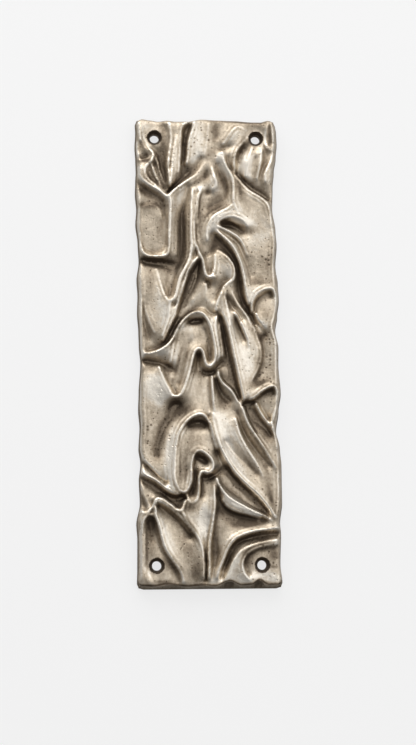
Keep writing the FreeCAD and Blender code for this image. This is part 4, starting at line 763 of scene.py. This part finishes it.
def wave(pairs, place):
    """Smooth value of a wave, given as (place, value) pairs, at places."""
    knots, values = np.array(pairs, float).T
    i = np.clip(np.searchsorted(knots, place) - 1, 0, len(knots) - 2)
    t = np.clip((place - knots[i]) / (knots[i + 1] - knots[i]), 0, 1)
    return values[i] + (values[i + 1] - values[i]) * t * t * (3 - 2 * t)


def edge_lines(length, roll, cell):
    """Shares of a length for the grid lines: even inside, and closer together on the rolled edges."""
    near = roll * (1 - np.cos(np.linspace(0, math.pi / 2, ROLL_LINES)))
    inner = np.linspace(roll, length - roll, max(2, round((length - 2 * roll) / cell)) + 1)[1:-1]
    return np.concatenate([near, inner, length - near[::-1]]) / length


class PlateForm:
    """Places on the plate in metres, worked out from the settings and the drawn folds."""

    def __init__(self, settings):
        self.size = settings
        level_height = (settings.crest_height - settings.field_height) / 10
        self.relief = Relief(settings.cell / MM, settings.reach / MM, settings.crest_rounding / MM,
                             settings.hollow_rounding / MM, settings.unevenness / level_height)
        self.x_scale = settings.plate_width / GRID_WIDTH
        self.z_scale = settings.plate_height / GRID_HEIGHT
        self.hole_x = settings.plate_width / 2 - settings.hole_inset
        self.hole_z = settings.plate_height / 2 - settings.hole_inset

    def spot(self, u, v, spread, bottom_wave=BOTTOM_WAVE):
        """Place in the plane of the door at shares u and v of the wavy outline."""
        x_grid, z_grid = GRID_WIDTH * (u - 0.5), GRID_HEIGHT * (v - 0.5)
        left = -GRID_WIDTH / 2 - wave(LEFT_WAVE, z_grid)
        right = GRID_WIDTH / 2 + wave(RIGHT_WAVE, z_grid)
        bottom = -GRID_HEIGHT / 2 - wave(bottom_wave, x_grid)
        top = GRID_HEIGHT / 2 + wave(TOP_WAVE, x_grid)
        x = (left + (right - left) * u) * self.x_scale + spread * (2 * u - 1)
        z = (bottom + (top - bottom) * v) * self.z_scale + spread * (2 * v - 1)
        return x, z

    def pad_share(self, x, z):
        """1 on the pad of a screw hole, falling to 0 a little outside it."""
        away = np.hypot(np.abs(x) - self.hole_x, np.abs(z) - self.hole_z)
        pad = self.size.pad_diameter / 2
        t = np.clip(((1 + PAD_BLEND) * pad - away) / (PAD_BLEND * pad), 0, 1)
        return t * t * (3 - 2 * t)

    def height(self, x, z, inside):
        """Height of the front above the back at places, a distance inside the edge."""
        rise = self.size.crest_height - self.size.field_height
        level = self.relief.sample(self.relief.level, x / self.x_scale, z / self.z_scale) / 10
        folded = self.size.field_height + rise * level * (1 - self.pad_share(x, z))
        t = np.clip(inside / self.size.edge_roll, 0, 1)
        return self.size.edge_height + (folded - self.size.edge_height) * np.sqrt(1 - (1 - t) ** 2)

    def mesh(self):
        """Closed mesh of the plate without its holes."""
        width, length = self.size.plate_width, self.size.plate_height
        u, v = np.meshgrid(edge_lines(width, self.size.edge_roll, self.size.cell),
                           edge_lines(length, self.size.edge_roll, self.size.cell))
        x, z = self.spot(u, v, -self.size.edge_draft - self.size.skin)
        inside = np.minimum(np.minimum(u, 1 - u) * width, np.minimum(LOWER_ROLL * v, 1 - v) * length)
        front = np.stack([x, -self.height(x, z, inside), z], axis=-1)
        rows, columns = u.shape
        index = np.arange(rows * columns).reshape(rows, columns)
        border = np.concatenate([index[0, :-1], index[:-1, -1], index[-1, :0:-1], index[:0:-1, 0]])
        flat_u, flat_v = u.ravel()[border], v.ravel()[border]
        back_x, back_z = self.spot(flat_u, flat_v, -self.size.skin, BACK_BOTTOM_WAVE)
        back = np.stack([back_x, np.zeros_like(back_x), back_z], axis=-1)
        places = np.concatenate([front.reshape(-1, 3), back])
        quads = np.stack([index[:-1, :-1], index[:-1, 1:], index[1:, 1:], index[1:, :-1]], axis=-1)
        around = rows * columns + np.arange(len(border))
        walls = np.stack([np.roll(border, -1), border, around, np.roll(around, -1)], axis=-1)
        mesh = bpy.data.meshes.new("folded_plate")
        faces = quads.reshape(-1, 4).tolist() + walls.tolist() + [around[::-1].tolist()]
        mesh.from_pydata(places.tolist(), [], faces)
        mesh.validate()
        return mesh


def screw_hole_cutter(form):
    """One object that fills all four screw holes: shank and countersink turned about each hole's axis."""
    size = form.size
    shank = size.hole_diameter / 2
    slope = (size.sink_diameter - size.hole_diameter) / 2 / size.sink_depth
    seat = size.field_height - size.sink_depth
    front = size.crest_height + MM
    profile = [(0, -MM), (shank, -MM), (shank, seat), (shank + slope * (front - seat), front), (0, front)]
    work = bmesh.new()
    for across in (-1, 1):
        for up in (-1, 1):
            points = [work.verts.new((across * form.hole_x + r, -d, up * form.hole_z)) for r, d in profile]
            edges = [work.edges.new(pair) for pair in zip(points, points[1:])]
            bmesh.ops.spin(work, geom=points + edges, angle=math.tau, steps=size.hole_sides, axis=(0, 1, 0),
                           cent=(across * form.hole_x, 0, up * form.hole_z))
    bmesh.ops.remove_doubles(work, verts=work.verts, dist=1e-6)
    bmesh.ops.recalc_face_normals(work, faces=work.faces)
    mesh = bpy.data.meshes.new("screw_holes")
    work.to_mesh(mesh)
    work.free()
    cutter = bpy.data.objects.new("screw_holes", mesh)
    bpy.context.scene.collection.objects.link(cutter)
    return cutter


def cut(piece, cutter):
    """Cut one object from another for good, and drop the cutter."""
    modifier = piece.modifiers.new("holes", "BOOLEAN")
    modifier.operation = "DIFFERENCE"
    modifier.solver = "EXACT"
    modifier.object = cutter
    done = piece.evaluated_get(bpy.context.evaluated_depsgraph_get())
    old = piece.data
    piece.data = bpy.data.meshes.new_from_object(done)
    piece.modifiers.clear()
    bpy.data.meshes.remove(old)
    bpy.data.meshes.remove(cutter.data)


def paint_patina_and_shade(piece, form):
    """Store how much dark finish is left at each point, most in the hollows and least on the rubbed crests,
    with painted shade in hollows, creases, countersinks, along the lower rim and beside the crests and painted
    highlight on the crests, and how thickly the casting is pitted."""
    relief = form.relief
    # Stains with painted shade and painted highlight, and deeper places darker
    dark = GROUND_FINISH + STAIN_AND_LIGHT_STRENGTH * relief.ovals(STAINS_AND_PAINTED_LIGHT) - DEPTH_PATINA_AND_SHADE * relief.level
    # Darker in hollows and creases and lighter on rises: patina in the hollows together with painted shade
    for reach, share in CAVITY_PATINA_AND_SHADE:
        dark -= share * (relief.level - blur(relief.level, reach / relief.cell))
    # A bright line on each crest, rubbed metal and a painted highlight, a painted shade line beside it, and
    # painted shade and highlight on the strands
    line = relief.lines(relief.crests, CREST_WEAR_AND_HIGHLIGHT[0])
    border = relief.lines(relief.crests, CREST_SHADE_LINE[0]) - line
    strands = relief.lines(relief.strands, STRAND_WIDTH)
    dark += CREST_SHADE_LINE[1] * border - CREST_WEAR_AND_HIGHLIGHT[1] * line - STRAND_SHADE_AND_HIGHLIGHT * strands
    places = np.empty(len(piece.data.vertices) * 3)
    piece.data.vertices.foreach_get("co", places)
    x, y, z = places.reshape(-1, 3).T
    amount = relief.sample(dark, x / form.x_scale, z / form.z_scale)
    # Painted shade: a dark line above the lower rim
    above_rim = z - form.spot(x / form.size.plate_width + 0.5, 0, -form.size.edge_draft)[1]
    strength, distance, reach = RIM_SHADE_LINE
    amount += strength * np.exp(-((above_rim / MM - distance) / reach) ** 2)
    # Painted shade: the countersink is darkened, and its mouth, a ring from half a millimetre inside the
    # countersink's edge to just outside it, is darkened more
    away = np.hypot(np.abs(x) - form.hole_x, np.abs(z) - form.hole_z)
    mouth = form.size.sink_diameter / 2
    in_hole = np.where(away < mouth - 0.5 * MM, SINK_SHADE, MOUTH_SHADE)
    amount = np.where(away < mouth + 0.1 * MM, in_hole, amount)
    # The lower side, lightened with painted light, reaches 1 mm above the mean line of the lower end, and the
    # back is left out of it; the other sides and the back get a darker tone
    lower_side = (z < MM - form.size.plate_height / 2) & (y < -0.1 * MM)
    side = np.where(lower_side, LOWER_SIDE_PAINTED_LIGHT, SIDE_TONE)
    amount = np.where(y > -form.size.edge_height - 0.02 * MM, side, amount)
    pits = np.full_like(x, PITTING)
    for pit_x, pit_z, wide, tall, share in PITTED:
        pits += share * np.exp(-((x / MM - pit_x) / wide) ** 2 - ((z / MM - pit_z) / tall) ** 2)
    for name, values in (("patina_and_shade", amount), ("pitting", np.clip(pits, 0, 1))):
        attribute = piece.data.attributes.new(name, "FLOAT", "POINT")
        attribute.data.foreach_set("value", values.astype(np.float32))


def add_node(tree, kind, settings=None, links=None, values=None):
    """Add a node with its settings, its values and the links to its inputs."""
    node = tree.nodes.new(kind)
    for name, value in (settings or {}).items():
        setattr(node, name, value)
    for name, value in (values or {}).items():
        node.inputs[name].default_value = value
    for name, source in (links or {}).items():
        tree.links.new(source, node.inputs[name])
    return node


def antiqued_nickel_bronze(finish):
    """Sand-cast nickel bronze, darkened all over and rubbed back: bright satin crests, brown flanks and dark
    hollows, partly real patina and partly painted shade and painted highlight, with the fine grain and
    scattered pits of the sand."""
    # What the streaks, the grain and the pits add to the finish, the sums at which the metal is bare and dark,
    # and its roughness there
    streak_share, grain_share, pit_share = 0.5, 0.55, 0.5
    bare, dark = 0.28, 1.23
    bare_roughness, dark_roughness = 0.4, 0.62
    material = bpy.data.materials.new("antiqued_nickel_bronze")
    material.use_nodes = True
    tree = material.node_tree
    tree.nodes.clear()
    place = add_node(tree, "ShaderNodeTexCoord").outputs["Object"]
    # The attribute holds real patina together with painted shade and painted highlight
    patina_and_shade = add_node(tree, "ShaderNodeAttribute", {"attribute_name": "patina_and_shade"}).outputs["Fac"]
    pitting = add_node(tree, "ShaderNodeAttribute", {"attribute_name": "pitting"}).outputs["Fac"]
    # Uneven rubbing in streaks about 3 mm wide, drawn out up the plate, and the grain of the sand, which is
    # made coarser than it is, from 1.6 mm down, so that it shows
    drawn = add_node(tree, "ShaderNodeMapping", links={"Vector": place},
                     values={"Rotation": (0.0, math.radians(8.0), 0.0), "Scale": (1.0, 1.0, 0.38)})
    streaks = add_node(tree, "ShaderNodeTexNoise", links={"Vector": drawn.outputs["Vector"]},
                       values={"Scale": 1 / (3.2 * MM), "Detail": 6.0, "Roughness": 0.7})
    grain = add_node(tree, "ShaderNodeTexNoise", links={"Vector": place},
                     values={"Scale": 1 / (1.6 * MM), "Detail": 4.0, "Roughness": 0.7})
    rubbed = add_node(tree, "ShaderNodeMath", {"operation": "MULTIPLY_ADD"},
                      {0: streaks.outputs["Fac"], 2: patina_and_shade}, {1: streak_share})
    speckled = add_node(tree, "ShaderNodeMath", {"operation": "MULTIPLY_ADD"},
                        {0: grain.outputs["Fac"], 2: rubbed.outputs[0]}, {1: grain_share})
    # Pits in the cells of a scatter of about 2 mm, larger where the casting is more pitted
    scatter = add_node(tree, "ShaderNodeTexVoronoi", links={"Vector": place}, values={"Scale": 1 / (1.9 * MM)})
    chance = add_node(tree, "ShaderNodeSeparateColor", links={"Color": scatter.outputs["Color"]})
    size = add_node(tree, "ShaderNodeMath", {"operation": "MULTIPLY"}, {0: chance.outputs["Red"], 1: pitting})
    pit = add_node(tree, "ShaderNodeMapRange", {"interpolation_type": "SMOOTHSTEP"},
                   {"Value": scatter.outputs["Distance"], "From Max": size.outputs[0]},
                   {"From Min": 0.0, "To Min": 1.0, "To Max": 0.0})
    worn = add_node(tree, "ShaderNodeMath", {"operation": "MULTIPLY_ADD"},
                    {0: pit.outputs["Result"], 2: speckled.outputs[0]}, {1: pit_share})
    finish_left = add_node(tree, "ShaderNodeMapRange", links={"Value": worn.outputs[0]},
                           values={"From Min": bare, "From Max": dark}).outputs["Result"]
    colour = add_node(tree, "ShaderNodeValToRGB", links={"Fac": finish_left})
    # The crest end of the ramp also shows the painted highlight, and the hollow end the painted shade
    stops = ((0.0, finish.crest), (0.33, finish.field), (0.68, finish.shade), (1.0, finish.hollow))
    ramp = colour.color_ramp.elements
    while len(ramp) < len(stops):
        ramp.new(0.5)
    for element, (share, tone) in zip(ramp, stops):
        element.position = share
        element.color = (*tone, 1)
    rough = add_node(tree, "ShaderNodeMapRange", links={"Value": finish_left},
                     values={"To Min": bare_roughness, "To Max": dark_roughness})
    relief = add_node(tree, "ShaderNodeMath", {"operation": "SUBTRACT"},
                      {0: grain.outputs["Fac"], 1: pit.outputs["Result"]})
    bump = add_node(tree, "ShaderNodeBump", links={"Height": relief.outputs[0]},
                    values={"Strength": 1.0, "Distance": 0.2 * MM})
    shader = add_node(tree, "ShaderNodeBsdfPrincipled", links={
        "Base Color": colour.outputs["Color"], "Roughness": rough.outputs["Result"],
        "Normal": bump.outputs["Normal"]}, values={"Metallic": 1.0})
    add_node(tree, "ShaderNodeOutputMaterial", links={"Surface": shader.outputs["BSDF"]})
    return material


class PLATE_OT_folded_plate(bpy.types.Operator):
    """Build the folded plate with its screw holes and antiqued finish"""

    bl_idname = "plate.folded_plate"
    bl_label = "Folded Plate"

    def execute(self, context):
        form = PlateForm(context.scene.plate)
        piece = bpy.data.objects.new("folded_plate", form.mesh())
        context.scene.collection.objects.link(piece)
        cut(piece, screw_hole_cutter(form))
        piece.data.shade_smooth()
        piece.data.set_sharp_from_angle(angle=SHARP_ANGLE)
        paint_patina_and_shade(piece, form)
        piece.data.materials.clear()
        piece.data.materials.append(antiqued_nickel_bronze(context.scene.plate_finish))
        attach(piece, CAD_BODY)
        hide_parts(CAD_NODE)
        return {"FINISHED"}


class PLATE_OT_studio(bpy.types.Operator):
    """Set up the backdrop, the soft light and the camera"""

    bl_idname = "plate.studio"
    bl_label = "Studio"

    def execute(self, context):
        stage = context.scene.plate_stage
        context.scene.view_settings.view_transform = "Standard"
        self.add_backdrop(stage)
        self.light_world(context.scene, stage)
        for softbox in SOFTBOXES:
            self.add_softbox(*softbox)
        self.add_camera(context.scene, stage)
        return {"FINISHED"}

    def add_backdrop(self, stage):
        """Pale wall just behind the plate and floor below it, seen only from the plate's side."""
        mesh = bpy.data.meshes.new("backdrop")
        half, gap, glow_strength, paper_grey = 1.6, 2 * MM, 0.82, 0.2
        corners = [(-half, gap, -half), (half, gap, -half), (half, gap, half), (-half, gap, half),
                   (-half, -2 * half, -half), (half, -2 * half, -half)]
        mesh.from_pydata(corners, [], [(0, 1, 2, 3), (4, 5, 1, 0)])
        wall = bpy.data.objects.new("backdrop", mesh)
        bpy.context.scene.collection.objects.link(wall)
        material = bpy.data.materials.new("backdrop_paper")
        material.use_nodes = True
        tree = material.node_tree
        tree.nodes.clear()
        glow = add_node(tree, "ShaderNodeEmission",
                        values={"Color": (*stage.backdrop, 1), "Strength": glow_strength})
        paper = add_node(tree, "ShaderNodeBsdfDiffuse",
                         values={"Color": (paper_grey, paper_grey, paper_grey, 1)})
        lit = add_node(tree, "ShaderNodeAddShader", links={0: glow.outputs[0], 1: paper.outputs[0]})
        clear = add_node(tree, "ShaderNodeBsdfTransparent")
        behind = add_node(tree, "ShaderNodeNewGeometry").outputs["Backfacing"]
        both = add_node(tree, "ShaderNodeMixShader", links={0: behind, 1: lit.outputs[0], 2: clear.outputs[0]})
        add_node(tree, "ShaderNodeOutputMaterial", links={"Surface": both.outputs[0]})
        mesh.materials.append(material)
        wall.visible_diffuse = False
        wall.visible_glossy = False
        wall.visible_shadow = False

    def light_world(self, scene, stage):
        """Studio air: pale above, darker towards the floor, and the backdrop's colour to the camera."""
        world = bpy.data.worlds.new("studio")
        scene.world = world
        world.use_nodes = True
        tree = world.node_tree
        tree.nodes.clear()
        # Strength by the upward part of a direction
        direction = add_node(tree, "ShaderNodeTexCoord").outputs["Generated"]
        up = add_node(tree, "ShaderNodeSeparateXYZ", links={"Vector": direction}).outputs["Z"]
        rise = add_node(tree, "ShaderNodeMapRange", links={"Value": up},
                        values={"From Min": -0.7, "From Max": 0.8, "To Min": 0.2, "To Max": 0.69})
        air = add_node(tree, "ShaderNodeBackground", links={"Strength": rise.outputs[0]},
                       values={"Color": (1, 1, 1, 1)})
        pale = add_node(tree, "ShaderNodeBackground", values={"Color": (*stage.backdrop, 1), "Strength": 1.0})
        seen = add_node(tree, "ShaderNodeLightPath").outputs["Is Camera Ray"]
        mix = add_node(tree, "ShaderNodeMixShader", links={0: seen, 1: air.outputs[0], 2: pale.outputs[0]})
        add_node(tree, "ShaderNodeOutputWorld", links={"Surface": mix.outputs[0]})

    def add_softbox(self, name, place, width, height, power):
        """Soft rectangular lamp that looks at the plate."""
        light = bpy.data.lights.new(name, "AREA")
        light.shape = "RECTANGLE"
        light.size = width
        light.size_y = height
        light.energy = power
        lamp = bpy.data.objects.new(name, light)
        lamp.location = place
        lamp.rotation_euler = (-Vector(place)).to_track_quat("-Z", "Y").to_euler()
        bpy.context.scene.collection.objects.link(lamp)

    def add_camera(self, scene, stage):
        """Camera at the photograph's angle, a little below the plate's middle."""
        data = bpy.data.cameras.new("camera")
        camera = bpy.data.objects.new("camera", data)
        scene.collection.objects.link(camera)
        frame_height, focal_pixels, roll = 745, 1593.4, math.radians(-0.632)
        data.sensor_fit = "VERTICAL"
        data.angle_y = 2 * math.atan(frame_height / 2 / focal_pixels)
        look = Vector((-math.sin(stage.azimuth) * math.cos(stage.elevation),
                       math.cos(stage.azimuth) * math.cos(stage.elevation), -math.sin(stage.elevation)))
        aim = Vector((0.56 * MM, 0, -12.96 * MM))
        camera.location = aim - stage.distance * look
        turn = look.to_track_quat("-Z", "Y")
        camera.rotation_euler = turn.to_euler()
        camera.rotation_euler.rotate_axis("Z", roll)
        scene.camera = camera


class PLATE_PT_panel(bpy.types.Panel):
    """Sidebar panel with the plate's settings and the operators that build it"""

    bl_idname = "PLATE_PT_panel"
    bl_label = "Finger Plate"
    bl_space_type = "VIEW_3D"
    bl_region_type = "UI"
    bl_category = "Finger Plate"

    def draw(self, context):
        scene = context.scene
        for group in (scene.plate, scene.plate_finish, scene.plate_stage):
            box = self.layout.box()
            for name in group.__annotations__:
                box.prop(group, name)
        self.layout.operator(PLATE_OT_folded_plate.bl_idname)
        self.layout.operator(PLATE_OT_studio.bl_idname)


CLASSES = (PlateSettings, FinishSettings, StageSettings, PLATE_OT_folded_plate, PLATE_OT_studio, PLATE_PT_panel)


def register():
    for item in CLASSES:
        bpy.utils.register_class(item)
    bpy.types.Scene.plate = PointerProperty(type=PlateSettings)
    bpy.types.Scene.plate_finish = PointerProperty(type=FinishSettings)
    bpy.types.Scene.plate_stage = PointerProperty(type=StageSettings)


def unregister():
    del bpy.types.Scene.plate_stage
    del bpy.types.Scene.plate_finish
    del bpy.types.Scene.plate
    for item in reversed(CLASSES):
        bpy.utils.unregister_class(item)


def main():
    register()
    bpy.ops.plate.folded_plate()
    bpy.ops.plate.studio()


if __name__ == "__main__":
    main()
